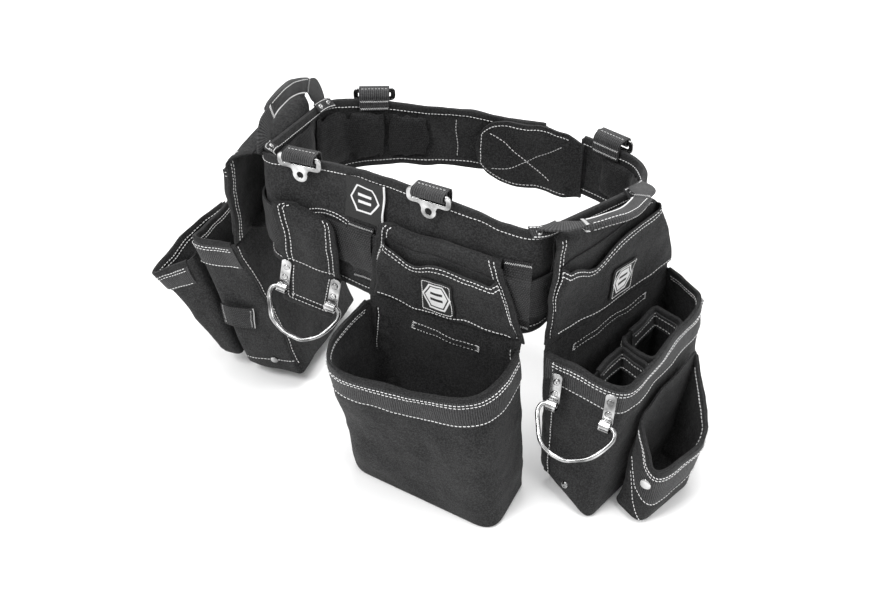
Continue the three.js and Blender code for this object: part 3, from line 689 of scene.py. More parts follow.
# ---------------------------------------------------------------- pockets
class Pocket:
    """The cloth of an open pocket, from corner loops [along, out, z, cut] that run from the
    bottom to the rim: back left, front left, front right, back right. u runs from 0 to 16 round
    the loop, four to a corner and its next side; depth is measured down the cloth from the rim."""

    def __init__(self, place, loops, wave=0.0, sag=0.0, dip=0.0):
        self.place, self.wave, self.sag, self.dip = place, wave, sag, dip
        self.loops = np.array(loops, float)

    def ring(self, loop, u):
        p = np.stack([loop[:, 0], -loop[:, 1], loop[:, 2]], -1)
        u = np.mod(u, 16)
        i = np.minimum((u // 4).astype(int), 3)
        share = u - 4 * i
        here, before, after = p[i], p[(i - 1) % 4], p[(i + 1) % 4]
        cut, next_cut = loop[i, 3][..., None], loop[(i + 1) % 4, 3][..., None]
        start = here + unit(before - here) * cut
        end = here + unit(after - here) * cut
        next_start = after + unit(here - after) * next_cut
        bend = bezier(start, here, end, np.minimum(share / 3, 1))
        side = end + (next_start - end) * np.clip(share - 3, 0, 1)[..., None]
        return np.where((share <= 3)[..., None], bend, side)

    def local(self, u, t):
        """t is 0 at the bottom loop and counts loops up to the rim."""
        u, t = np.broadcast_arrays(np.asarray(u, float), np.asarray(t, float))
        rings = [self.ring(loop, u) for loop in self.loops]
        rings = [2 * rings[0] - rings[1]] + rings + [2 * rings[-1] - rings[-2]]
        rings = np.stack(rings)
        i = np.clip(np.floor(t).astype(int), 0, len(self.loops) - 2)
        f = (t - i)[..., None]
        a, b, c, d = (np.take_along_axis(rings, (i + k)[None, ..., None], 0)[0] for k in range(4))
        p = 0.5 * (2 * b + (c - a) * f + (2 * a - 5 * b + 4 * c - d) * f ** 2
                   + (3 * b - a - 3 * c + d) * f ** 3)
        high = np.clip(t / (len(self.loops) - 1), 0, 1)
        middle = np.exp(-((np.mod(u, 16) - 7.5) / 1.2) ** 2)
        p[..., 1] -= self.sag * middle * np.sin(math.pi * high) ** 1.2
        p[..., 2] += self.wave * high ** 3 * np.sin(np.clip(u - 3, 0, 9) / 9 * 3 * math.pi)
        p[..., 2] -= self.dip * high ** 3 * np.exp(-((np.mod(u, 16) - 7.28) / 0.16) ** 2)
        return p

    def columns(self, low=0.0, high=16.0, fine=9):
        """Places round the loop, close together in the rounds."""
        out = []
        for i in range(4):
            out += list(np.linspace(4 * i, 4 * i + 3, fine, endpoint=False))
            out += list(np.linspace(4 * i + 3, 4 * i + 4, 14, endpoint=False))
        out = np.array([low] + [v for v in out if low + 0.02 < v < high - 0.02] + [high])
        return out if high < 16 else out[:-1]

    def on(self, u, depth, away=0.0):
        """Points and normals on the outside; away moves them off the cloth."""
        u, depth = np.broadcast_arrays(np.asarray(u, float), np.asarray(depth, float))
        flat_u, flat_d = u.ravel(), depth.ravel()
        ts = np.linspace(len(self.loops) - 1, 0, 49)

        def down(values):
            grid = self.local(values[None, :], ts[:, None])
            steps = np.linalg.norm(np.diff(grid, axis=0), axis=2)
            run = np.vstack([np.zeros(len(values)), np.cumsum(steps, 0)])
            return grid, run

        def pick(grid, run, d):
            return np.array([
                [np.interp(d[k], run[:, k], grid[:, k, c]) for c in range(3)] for k in range(len(d))
            ])

        grid, run = down(flat_u)
        here = pick(grid, run, flat_d)
        lower, upper = pick(grid, run, flat_d + 2), pick(grid, run, np.maximum(flat_d - 2, 0))
        ahead = pick(*down(flat_u + 0.04), flat_d)
        behind = pick(*down(flat_u - 0.04), flat_d)
        normal = unit(np.cross(lower - upper, ahead - behind))
        shape = u.shape + (3,)
        return (placed(self.place, here + normal * away).reshape(shape),
                turned(self.place, normal).reshape(shape))

    def shell(self, name, body, node, wall=2.0, look="canvas"):
        """The pocket's cloth, one closed skin: outside, rim, inside and both floors."""
        u = self.columns()
        ts = np.linspace(len(self.loops) - 1, 0, 30)
        outer = self.local(u[None, :], ts[:, None])

        def inset(grid, distance):
            along = np.roll(grid, -1, 1) - np.roll(grid, 1, 1)
            along[..., 2] = 0
            along = unit(along)
            move = np.stack([-along[..., 1], along[..., 0], 0 * along[..., 0]], -1)
            return grid + move * distance

        inner = inset(outer, wall)
        centre = outer[-1].mean(0)
        crease = 3.0
        out_rows = [outer[:-1]]
        out_rows.append(inset(outer[-1:], 0.0) + [0, 0, crease])
        out_rows.append(inset(outer[-1:], 0.9) + [0, 0, 0.9])
        out_rows.append(inset(outer[-1:], crease))
        for share in (0.35, 0.7, 0.97):
            out_rows.append(inset(outer[-1:], crease) * (1 - share) + centre * share)
        in_rows = [inner[:-1], inner[-1:] + [0, 0, wall + 2]]
        for share in (0.06, 0.4, 0.7, 0.97):
            in_rows.append((inner[-1:] + [0, 0, wall]) * (1 - share)
                           + (centre + [0, 0, wall]) * share)
        a, b = np.vstack(out_rows), np.vstack(in_rows)
        skin = np.vstack([a[::-1], b])
        n = len(u)
        faces = quads(len(skin), n, wrap=True)
        faces += [list(range(n)), [(len(skin) - 1) * n + k for k in range(n)]]
        run = np.linalg.norm(np.diff(outer[0], axis=0), axis=1)
        along = np.r_[0, np.cumsum(run)]
        down = np.r_[0, np.cumsum(np.linalg.norm(np.diff(skin, axis=0), axis=2).mean(1))]
        flat = np.stack(np.meshgrid(along, down), -1)
        return piece(name, placed(self.place, skin.reshape(-1, 3)), faces, look, body, flat,
                     stands_for=(node,))

    def strip(self, name, body, low, high, look, u=(3.0, 12.0), away=0.6, thick=1.5, rows=7,
              **more):
        """Webbing sewn round the outside, from one depth to another."""
        cols = self.columns(*u)
        depths = np.linspace(low, high, rows)
        grid, _ = self.on(cols[None, :], depths[:, None], away + thick)
        grid[0], grid[-1] = self.on(cols, low, away)[0], self.on(cols, high, away)[0]
        return sheet(name, grid, thick, look, body, **more)

    def rim(self, name, body, node):
        """The bound edge over the rim."""
        half = 2.3, 3.5
        cols = self.columns(3.0, 12.0, fine=12)
        path, normal = self.on(cols, 0.0)
        down = self.on(cols, 6.0)[0] - path
        up = -unit(down)
        across = unit(np.cross(np.cross(up, normal), up))
        path = path - across * 1.0 + up * (half[1] - 4.4)
        return swept(name, path, across, up, half, "binding", body, sides=16, stands_for=(node,))

    def stitch(self, body, depth, u=(3.05, 11.95), away=0.3, inside=False, **more):
        """A row of stitches round the pocket at one depth."""
        path, normal = self.on(self.columns(*u), depth, away)
        thread_of(body).row(path, -normal if inside else normal, **more)

    def seam(self, body, u, depth, away=0.4):
        """A row of stitches through places on the outside."""
        thread_of(body).row(*self.on(u, depth, away))

    def snap(self, body, u, depth, away, radius=6.0):
        """A snap or a large rivet on the outside."""
        rivets_of(body).rivet(*self.on(u, depth, away), radius, 1.7)


# ---------------------------------------------------------------- camera, lights and floor
def build_stage():
    floor_z = -0.2405
    bm = bmesh.new()
    bmesh.ops.create_grid(bm, x_segments=8, y_segments=8, size=6)
    mesh = bpy.data.meshes.new("floor")
    bm.to_mesh(mesh)
    bm.free()
    mesh.materials.append(paper("pale_floor", 0.93))
    floor = linked("floor", mesh)
    floor.location.z = floor_z

    azimuth, elevation, distance = math.radians(20), math.radians(38), 1.1592
    target = Vector((0.03219, -0.16594, 0))
    away = Vector((math.sin(azimuth) * math.cos(elevation),
                   -math.cos(azimuth) * math.cos(elevation),
                   math.sin(elevation)))
    data = bpy.data.cameras.new("camera")
    data.sensor_width, data.lens = 36, 47.48
    data.clip_end = 50
    camera = linked("camera", data)
    camera.location = target + away * distance
    camera.rotation_euler = (-away).to_track_quat("-Z", "Y").to_euler()
    bpy.context.scene.camera = camera

    world = bpy.data.worlds.new("studio")
    world.use_nodes = True
    sky = world.node_tree.nodes["Background"].inputs
    sky["Color"].default_value, sky["Strength"].default_value = (1, 1, 1, 1), 0.8
    bpy.context.scene.world = world
    for name, place, power, size in (
        ("key", (-0.9, -1.5, 2.0), 42, 0.9),
        ("side", (1.7, -0.7, 1.3), 14, 1.0),
        ("top", (0.1, 0.3, 2.2), 34, 1.2),
        ("far", (-0.4, 1.8, 1.2), 10, 1.2),
    ):
        light = bpy.data.lights.new(name, "AREA")
        light.energy, light.size = power, size
        lamp = linked(name, light)
        lamp.location = place
        lamp.rotation_euler = (Vector((0, -0.05, -0.05))
                               - Vector(place)).to_track_quat("-Z", "Y").to_euler()
    bpy.context.scene.view_settings.view_transform = "Standard"


# ---------------------------------------------------------------- thread and rivets of each body
THREADS = {}
RIVETS = {}


def thread_of(body):
    return THREADS.setdefault(body, Thread(body + "_stitching", body))


def rivets_of(body):
    return RIVETS.setdefault(body, Metal(body + "_rivets", body))


# ---------------------------------------------------------------- band
TAPE_HALF = (3.1, 5.4)  # half the thickness and half the height of the edge tape


def build_band():
    s = np.linspace(CLOSURE_START, BAND_END, 380)
    share = np.linspace(0, 1, 20)[:, None]
    top, bottom = belt.top(s) - 2.5, belt.bottom(s) + 2.5
    z = top * (1 - share) + bottom * share
    out = 1.3 * np.sin(math.pi * share) ** 0.7
    sheet("band_canvas", belt.at(s, out, z), BAND_THICKNESS, "canvas", "belt",
          stands_for=("band_shell",))
    stitching = thread_of("belt")
    t = belt.tangent(s)
    across = grid_of(t[:, 1], -t[:, 0], 0)
    for name, edge, node, side in (
        ("top_tape", belt.top, "band_top_binding", -1),
        ("bottom_tape", belt.bottom, "band_bottom_binding", 1),
    ):
        middle = edge(s) + side * (TAPE_HALF[1] - 0.4)
        swept(name, belt.at(s, -2, middle), across, (0, 0, 1), TAPE_HALF, "binding", "belt",
              sides=14, stands_for=(node,))
        row = edge(s) + side * (2 * TAPE_HALF[1] - 2.6)
        stitching.row(belt.at(s, 1.1, row), across)
        stitching.row(belt.at(s, -5.1, row), -across)
    for s_end, name in ((CLOSURE_START + 1, "band_end_near_tongue"),
                        (BAND_END - 1, "band_end_at_root")):
        z = np.linspace(belt.bottom(s_end) + 4, belt.top(s_end) - 4, 24)
        along = np.append(belt.tangent(s_end), 0)
        swept(name, belt.at(s_end, -2, z), np.cross(along, (0, 0, 1)), along, (2.9, 4.5), "binding",
              "belt", sides=14)
    # the double-stitched hem of the lumbar facing, above the hammer holder
    hem = np.linspace(belt.near((-150, -96)), belt.near((-76, -104)), 40)
    rise = 33 - 12 * np.linspace(-1, 1, 40) ** 2
    for lower in (0, 4.5):
        stitching.row(belt.at(hem, 1.6, rise - lower), belt.at(hem, 2, 0) - belt.at(hem, 0, 0))
    # seams that hold the foam lobes' edges
    for place in ((-47, 130), (150, -60)):
        at = belt.near(place)
        z = np.linspace(belt.bottom(at) + 14, belt.top(at) - 14, 30)
        stitching.row(belt.at(at, -5.0, z), belt.at(at, -2, 0) - belt.at(at, 0, 0), pitch=4,
                      width=0.7)


PADS = {
    "pad_front_left": ((-80, 124), (-197, 42), 3),
    "pad_left": ((-197, 36), (-195, -78), 2),
    "pad_back": ((-170, -103), (104, -130), 6),
    "pad_right": ((132, -110), (196, 28), 3),
    "pad_far_right": ((197, 38), (138, 111), 2),
}


PAD_RISE = 7.0  # how far the lobes stand out before they are blown up
PAD_EDGE = 12  # how far the lobes stop from the band's edges
PAD_HELD = 3.2  # how far from a channel or an edge the cloth is held


def build_pads():
    """Foam lobes with sewn channels between, on the wearer's side of the band. The lobes are
    blown up as cloth that is held down at its channels, its edges and its back."""
    for name, (start, end, lobes) in PADS.items():
        first = belt.near(start)
        reach = np.mod(belt.near(end) - first, belt.length)
        s = first + np.linspace(0, reach, lobes * 18 + 1)
        share = np.linspace(0, 1, 22)[:, None]
        along = np.abs(np.sin(math.pi * lobes * np.linspace(0, 1, len(s)))) ** 0.5
        crown = np.sin(math.pi * share) ** 0.5 * along
        top, bottom = belt.top(s) - PAD_EDGE, belt.bottom(s) + PAD_EDGE
        z = bottom * (1 - share) + top * share
        grid = belt.at(s, -BAND_THICKNESS - 2.0 - PAD_RISE * crown, z)
        back = belt.at(s, -BAND_THICKNESS - 0.9, z)
        points, faces = between(grid, back)
        points, faces = inflated(points, faces, lambda p: held_down(p, first, reach, lobes))
        pad = piece(name + "_foam", points, faces, "lining", "belt",
                    along_belt(points, first, reach),
                    stands_for=known(name))


def along_belt(points, first, reach):
    """Each point's place on the cloth: along the belt from first, and up."""
    runs = first + np.linspace(-4, reach + 4, int(reach) + 9)
    plan = belt.plan(runs)
    nearest = np.argmin(((points[:, None, :2] - plan[None]) ** 2).sum(-1), axis=1)
    t = belt.tangent(runs)[nearest]
    extra = ((points[:, :2] - plan[nearest]) * t).sum(-1)
    return np.stack([runs[nearest] + extra - first, points[:, 2]], -1)


def held_down(points, first, reach, lobes):
    """Whether each point lies in a channel, at an edge or on the pad's back."""
    run = along_belt(points, first, reach)[:, 0]
    s = first + run
    middle = belt.at(s, 0, 0)
    t = belt.tangent(s)
    out = (points[:, 0] - middle[:, 0]) * t[:, 1] - (points[:, 1] - middle[:, 1]) * t[:, 0]
    channel = np.abs(run / reach * lobes - np.round(run / reach * lobes)) * reach / lobes < PAD_HELD
    edge = np.minimum(belt.top(s) - PAD_EDGE - points[:, 2],
                      points[:, 2] - belt.bottom(s) - PAD_EDGE) < PAD_HELD
    return channel | edge | (out > -BAND_THICKNESS - 1.7)


def inflated(points, faces, held, voxel=4.0, cap=6.0, pressure=6.0, frames=20):
    """The cloth of a pad, remeshed and blown up by Blender's cloth, as new points and faces."""
    scene = bpy.context.scene
    mesh = bpy.data.meshes.new("pad_start")
    mesh.from_pydata([tuple(p) for p in points * MM], [], faces)
    faces_out(mesh)
    obj = linked("pad_start", mesh)
    remesh = obj.modifiers.new("remesh", "REMESH")
    remesh.mode, remesh.voxel_size = "VOXEL", voxel * MM
    graph = bpy.context.evaluated_depsgraph_get()
    even = bpy.data.meshes.new_from_object(obj.evaluated_get(graph))
    obj.modifiers.clear()
    obj.data = even
    start = np.array([v.co for v in even.vertices]) / MM
    pins = obj.vertex_groups.new(name="held")
    pins.add([int(i) for i in np.flatnonzero(held(start))], 1.0, "REPLACE")
    cloth = obj.modifiers.new("cloth", "CLOTH")
    settings = cloth.settings
    settings.vertex_group_mass = pins.name
    settings.use_pressure, settings.uniform_pressure_force = True, pressure
    settings.tension_stiffness = settings.compression_stiffness = 12
    settings.bending_stiffness = 0.4
    settings.effector_weights.gravity = 0
    cloth.point_cache.frame_start, cloth.point_cache.frame_end = 1, frames
    for frame_number in range(1, frames + 1):
        scene.frame_set(frame_number)
    graph = bpy.context.evaluated_depsgraph_get()
    blown = obj.evaluated_get(graph).to_mesh()
    move = np.array([v.co for v in blown.vertices]) / MM - start
    obj.evaluated_get(graph).to_mesh_clear()
    size = np.linalg.norm(move, axis=1, keepdims=True)
    move *= np.minimum(1, cap / np.maximum(size, 1e-6))
    even.vertices.foreach_set("co", ((start + move) * MM).ravel())
    obj.modifiers.clear()
    obj.modifiers.new("finer", "SUBSURF").levels = 1
    graph = bpy.context.evaluated_depsgraph_get()
    fine = bpy.data.meshes.new_from_object(obj.evaluated_get(graph))
    bpy.data.objects.remove(obj)
    scene.frame_set(1)
    return np.array([v.co for v in fine.vertices]) / MM, [list(f.vertices) for f in fine.polygons]


def between(front, back):
    """The points and faces of a closed form between two grids."""
    rows, cols = front.shape[:2]
    n = rows * cols
    faces = quads(rows, cols) + quads(rows, cols, start=n, flip=True)
    rim = list(range(cols)) + [i * cols + cols - 1 for i in range(1, rows)]
    rim += [n - 1 - k for k in range(1, cols)] + [i * cols for i in range(rows - 2, 0, -1)]
    for a, b in zip(rim, rim[1:] + rim[:1]):
        faces.append([b, a, a + n, b + n])
    return np.vstack([front.reshape(-1, 3), back.reshape(-1, 3)]), faces


def build_tongue():
    """The rounded end that lies inside the other end of the band."""
    low, high = -36, 50
    s = np.linspace(TONGUE_ROOT - 3, TONGUE_TIP, 90)
    tip = np.minimum((TONGUE_TIP - s) / 42, 1)
    bulge = np.sqrt(np.maximum(1 - (1 - tip) ** 2, 0.0025))
    middle, half = (low + high) / 2, (high - low) / 2
    root = ease((s - TONGUE_ROOT + 3) / 26)
    reach = bulge * half * (0.82 + 0.18 * root)
    share = np.linspace(1, -1, 24)[:, None]
    z = middle - 2 * (1 - root) + share * reach
    crown = (1 - share ** 4) * np.minimum(tip * 4, 1)
    out = -4.5 - 4.6 * root - 1.9 * crown
    grid = belt.at(s, out - 2.2, z)
    back = belt.at(s, -4.0 - 4.4 * root, z)
    flat = grid_lengths(grid).reshape(-1, 2)
    ends = [tuple(belt.at(at, -8, middle) * MM) for at in (TONGUE_ROOT - 2, TONGUE_ROOT + 14)]
    tongue = piece("tongue_canvas", *between(grid, back), "canvas", ("belt", "tongue", *ends),
                   np.vstack([flat, flat]), stands_for=("closure_tongue",))
    stitching = thread_of("tongue")
    inward = belt.at(s, -1, 0) - belt.at(s, 0, 0)

    def face(where, part):
        k = np.interp(where, s, np.arange(len(s)))
        i = np.clip(k.astype(int), 0, len(s) - 2)
        f = (k - i)[:, None]
        rows = (1 - np.asarray(part)) / 2 * (len(share) - 1)
        j = np.clip(rows.astype(int), 0, len(share) - 2)
        g = (rows - j)[:, None]
        near = grid[j, i] * (1 - f) + grid[j, i + 1] * f
        far = grid[j + 1, i] * (1 - f) + grid[j + 1, i + 1] * f
        return near * (1 - g) + far * g, inward[i]

    edge = np.linspace(TONGUE_ROOT + 16, TONGUE_TIP - 7, 60)
    for side in (1, -1):
        stitching.row(*face(edge, side * (1 - 5 / np.interp(edge, s, reach))))
    turn = np.linspace(1, -1, 20) * (1 - 5 / np.interp(TONGUE_TIP - 7, s, reach))
    stitching.row(*face(np.full(20, TONGUE_TIP - 7.0), turn))
    for start, end, width in (((0.87, 0.66), (0.30, -0.62), 0.95),
                              ((0.84, -0.66), (0.18, 0.6), 0.7)):
        run = np.linspace(0, 1, 40)
        where = TONGUE_ROOT + (TONGUE_TIP - TONGUE_ROOT) * (start[0] + (end[0] - start[0]) * run)
        stitching.row(*face(where, start[1] + (end[1] - start[1]) * run), width=width)


# ---------------------------------------------------------------- strap, buckle and keepers
def build_strap():
    s = np.linspace(BUCKLE_AT + 32, BUCKLE_AT - 74 + belt.length, 300)
    z = np.linspace(STRAP_HALF, -STRAP_HALF, 9)[:, None]
    out = 6.7 - 0.5 * (np.abs(z) / STRAP_HALF) ** 6
    sheet("strap", belt.at(s, out, z), 2.3, "strap", "belt", stands_for=("main_strap",))
    front = belt.station((12, 133), 8)
    refined("buckle_body", "buckle_socket", "plastic", "belt", 2.2, place=front, segments=3)
    refined("buckle_plug", "buckle_prongs", "plastic", "buckle", 1.6, place=front, segments=3)
    refined("strap_tail", "adjuster_tail", "strap", "buckle", 0.6, place=front)
    grips = [placed(front, (27 - 3 * k, -6.15, 0)) for k in range(4)]
    bars = raised_bars(grips, turned(front, (0, 0, 1)), outward(front), 30)
    piece("buckle_ridges", *bars, "plastic", "belt", soft=False)


def raised_bars(centres, along, normal, length):
    """Small raised bars, for the buckle's finger grips."""
    points, faces = [], []
    along, normal = unit(along), unit(normal)
    side = np.cross(along, normal)
    for centre in centres:
        base = len(points)
        for end in np.linspace(-0.5, 0.5, 5):
            size = 1 if abs(end) < 0.5 else 0.4
            for turn in turns(8):
                points.append(centre + along * length * end
                              + size
                              * (side * math.cos(turn) * 0.9 + normal * math.sin(turn) * 0.7))
        faces += quads(5, 8, wrap=True, start=base) + caps(5, 8, base)
    return np.array(points), faces


KEEPERS = {
    "keeper_back_left": ((-70, -105), 30, -42, 30),
    "keeper_back_right": ((105, -130), 30, -42, 44),
    "keeper_front": ((-84, 125), 18, -29, 30),
}


def build_keepers():
    inside, sewn = 8.9, 2.6
    for name, (place, width, low, high) in KEEPERS.items():
        m = belt.station(place)
        section = smooth_path([
            (0, sewn, low), (0, sewn + 0.3, low + 6), (0, sewn + 1.4, -STRAP_HALF - 4),
            (0, inside - 0.8, -STRAP_HALF + 1), (0, inside, -STRAP_HALF + 8), (0, inside, 0),
            (0, inside, STRAP_HALF - 8), (0, inside - 0.8, STRAP_HALF - 1),
            (0, sewn + 1.4, STRAP_HALF + 2.4), (0, sewn, high),
        ], 5)[::-1]
        x = np.linspace(-width / 2, width / 2, 11)
        grid = grid_of(x[None], -section[:, 1][:, None], section[:, 2][:, None])
        sheet(name + "_webbing", placed(m, grid), 1.7, "strap", "belt", stands_for=(name,))
        for z in (low + 3.5, high - 2.5):
            ends = [placed(m, (x, -sewn - 1.2, z)) for x in (1 - width / 2, width / 2 - 1)]
            thread_of("belt").tack(*ends, outward(m), 2.0, 0.9, 0.8)


def build_label():
    m = belt.station((-66, -104))
    x = np.linspace(-22, 22, 18)
    z = np.linspace(86, 36, 20)
    fall = 86 - z[:, None]
    grid = grid_of(x[None] * (1 + 0.05 * fall / 50), -3.0 - 0.9 * ease(fall / 40), z[:, None])
    flat = np.stack(np.meshgrid(x, z - 61), -1)
    sheet("label", placed(m, grid), 1.1, "emblem", "belt", flat, stands_for=("label_tab",))
    thread_of("belt").line(placed(m, grid_of(23.2, -3.7, z)), outward(m), 2.4, 0.2, 8)


# ---------------------------------------------------------------- suspender points
RINGS = {
    "back_left": (-141, -96), "back_right": (12, -115),
    "front_left": (-145, 106), "front_right": (142, 108),
}


def build_suspender_points():
    rise, bar_out = 7, 9
    eye = [(7.8 * math.cos(a), 7.8 * math.sin(a) - 20, 0.2)
           for a in np.radians(np.arange(165, 380, 15))]
    ring = rounded_outline([(24.4, 2.4, 5.5), (-24.4, 2.4, 5.5), (-24.4, -12.4, 6),
                            (-9.6, -12.4, 3), *eye,
                            (9.6, -12.4, 3), (24.4, -12.4, 6)])
    slot = rounded_outline([(-20.4, -1.6, 2), (20.4, -1.6, 2), (20.4, -8.9, 3), (-20.4, -8.9, 3)])
    turn = turns(28)
    hole = np.stack([4.5 * np.cos(turn), -20 + 4.5 * np.sin(turn)], -1)
    leg = -BAND_THICKNESS - 2.6
    for name, place in RINGS.items():
        s = belt.near(place)
        m = belt.station(place, 0, float(belt.top(s)) + rise)
        around = np.linspace(math.pi / 2, -1.25 * math.pi, 20)
        section = [(leg, -17), (leg - 0.4, -12), (leg - 0.2, -6), (leg + 0.4, 0), (leg + 3.4, 3.4),
                   (1, 4.0)]
        section += [(bar_out + 4.0 * math.cos(a), 4.0 * math.sin(a)) for a in around]
        section = smooth_path([(0, a, b) for a, b in section], 3)[::-1]
        x = np.linspace(-18, 18, 9)
        grid = grid_of(x[None], -section[:, 1][:, None], section[:, 2][:, None])
        flat = np.stack(np.meshgrid(x, np.arange(len(section))), -1)
        sheet(f"suspender_webbing_{name}", placed(m, grid), 1.5, "webbing", "belt", flat,
              stands_for=(f"suspender_loop_{name}",))
        plate = m @ Matrix.Translation((0, -bar_out, 0))
        stamped(f"ring_{name}", [ring, slot, hole], 2.4, 0.9, plate, f"ring_{name}",
                f"suspender_ring_{name}")
        edge = grid_of(np.linspace(-16, 16, 12), -bar_out + 6.4, 5.0)
        thread_of("belt").row(placed(m, edge), turned(m, (0, 0, 1)))
        inward = belt.at(s, -1, 0) - belt.at(s, 0, 0)
        for z in (-5.5, -14.5):
            ends = placed(m, ((-16.5, -leg + 1.4, z), (16.5, -leg + 1.4, z)))
            thread_of("belt").tack(*ends, inward, 1.8, 1.1)


# ---------------------------------------------------------------- carry handles
HANDLES = {
    "left": ((-197, 62), (-197, -80), 36, 8),
    "right": ((129, -118), (190, 12), 38, 76),
}


def build_handles():
    for count, (side, (start, end, height, lean)) in enumerate(HANDLES.items()):
        ends = [belt.near(start), belt.near(end)]
        a, b = (belt.at(s, 0, belt.top(s) + 5) for s in ends)
        along = b - a
        span = float(np.linalg.norm(along))
        m = (Matrix.Rotation(math.atan2(along[1], along[0]), 4, "Z")
             @ Matrix.Rotation(-math.asin(along[2] / span), 4, "Y")
             @ Matrix.Rotation(math.radians(lean), 4, "X"))
        m.translation = Vector((a + b) / 2)
        t = np.linspace(0, 1, 70)[:, None]
        p0, p1, p2, p3 = (np.array(p) for p in (
            (-span / 2, 0, 0), (-span / 2.5, 0, height * 1.34), (span / 2.5, 0, height * 1.34),
            (span / 2, 0, 0)))
        curve = ((1 - t) ** 3 * p0 + 3 * t * (1 - t) ** 2 * p1
                 + 3 * t ** 2 * (1 - t) * p2 + t ** 3 * p3)
        tangent = unit(np.gradient(curve, axis=0))
        level = ease(np.minimum(t, 1 - t) / 0.1)[:, 0]  # the webbing leaves its ends square
        in_plane = unit(grid_of(-tangent[:, 2], 0, tangent[:, 0] * level))
        body = side + "_handle"
        folded = 1 - 0.4 * ease((t[:, 0] - 0.12) / 0.12) * ease((0.88 - t[:, 0]) / 0.12)
        line, width = placed(m, curve), turned(m, in_plane) * folded[:, None]
        thick = np.broadcast_to(outward(m), line.shape)
        sideways, sewn = unit(np.cross(along, (0, 0, 1))), np.array((0, 0, -6))
        bend = [tuple(placed(m, (0, 0, z)) * MM) for z in (0, 10)]
        swept(f"{body}_webbing", np.vstack([line[0] + sewn, line, line[-1] + sewn]),
              np.vstack([sideways, thick, sideways]), np.vstack([width[0], width, width[-1]]),
              (1.4, 13), "webbing", ("belt", body, *bend), sides=16, power=0.4,
              stands_for=(f"handle_{side}",))
        part = (t[:, 0] >= 0.22) & (t[:, 0] <= 0.78)
        middle = curve[part] + [0, -1.9, 0]
        swell = np.sin(math.pi * np.linspace(0.04, 0.96, part.sum())) ** 0.25
        grip = swept(f"{body}_grip", placed(m, middle), outward(m) * swell[:, None],
                     turned(m, in_plane[part]) * (0.9 + 0.1 * swell[:, None]), (4.2, 9.4),
                     "webbing", body,
                     sides=22, power=0.7, stands_for=(f"handle_grip_{side}",))
        stitching = thread_of(body)
        run = slice(3, -3)
        for facing, outer, inner, end in ((-1, -5.6, -4.1, -5.2), (1, 1.9, 0.4, 1.9)):
            out = turned(m, (0, facing, 0))
            stitching.row(placed(m, curve[part][run] + in_plane[part][run] * 6.6 + [0, outer, 0]),
                          out)
            stitching.line(placed(m, curve[part][run] - in_plane[part][run] * 8.9 + [0, inner, 0]),
                           out, 1.5, 0.4, 6)
            for k in (np.argmax(part) + 1, len(t) - 2 - np.argmax(part)):
                p, q = curve[k] - in_plane[k] * 8, curve[k] + in_plane[k] * 8
                stitching.tack(placed(m, p + [0, end, 0]), placed(m, q + [0, end, 0]), out, 3.4)
        for k, s in enumerate(ends):
            handle_end(f"handle_end_{4 * count + 2 * k}", s, -1 if side == "left" else 1)


def handle_end(name, s, facing):
    """The sewn and riveted end of a handle, along the band's top edge."""
    run = s + np.linspace(-16, 16, 14)
    t = np.append(belt.tangent(s), 0)
    out = np.cross(t, (0, 0, 1))
    normal = unit(np.array((0, 0, 1.0)) + 0.9 * facing * out)
    path = belt.at(run, -2 + 3.6 * facing, belt.top(run) - 0.2)
    side = np.cross(t, normal)
    swept(name, path, normal, side, (1.3, 6.8), "webbing", "belt", sides=14, power=0.45)
    stitching = thread_of("belt")
    for away in (-5.2, 5.2):
        stitching.row(path + side * away + normal * 1.2, normal, pitch=3.6, width=0.9)
    for k in (1, -2):
        stitching.tack(path[k] - side * 5, path[k] + side * 5, normal, 2.0)
    for k in (3, -4):
        rivets_of("belt").rivet(path[k] + normal * 1.4, normal, 3.4, 1.5)


# ---------------------------------------------------------------- tunnels over the strap
TUNNEL_BACK = 2.4  # how far out from the band the fabric behind the strap lies
FRONT_ROWS, EDGE_ROWS = 22, 30  # rows of the front panel, and of the bound edges


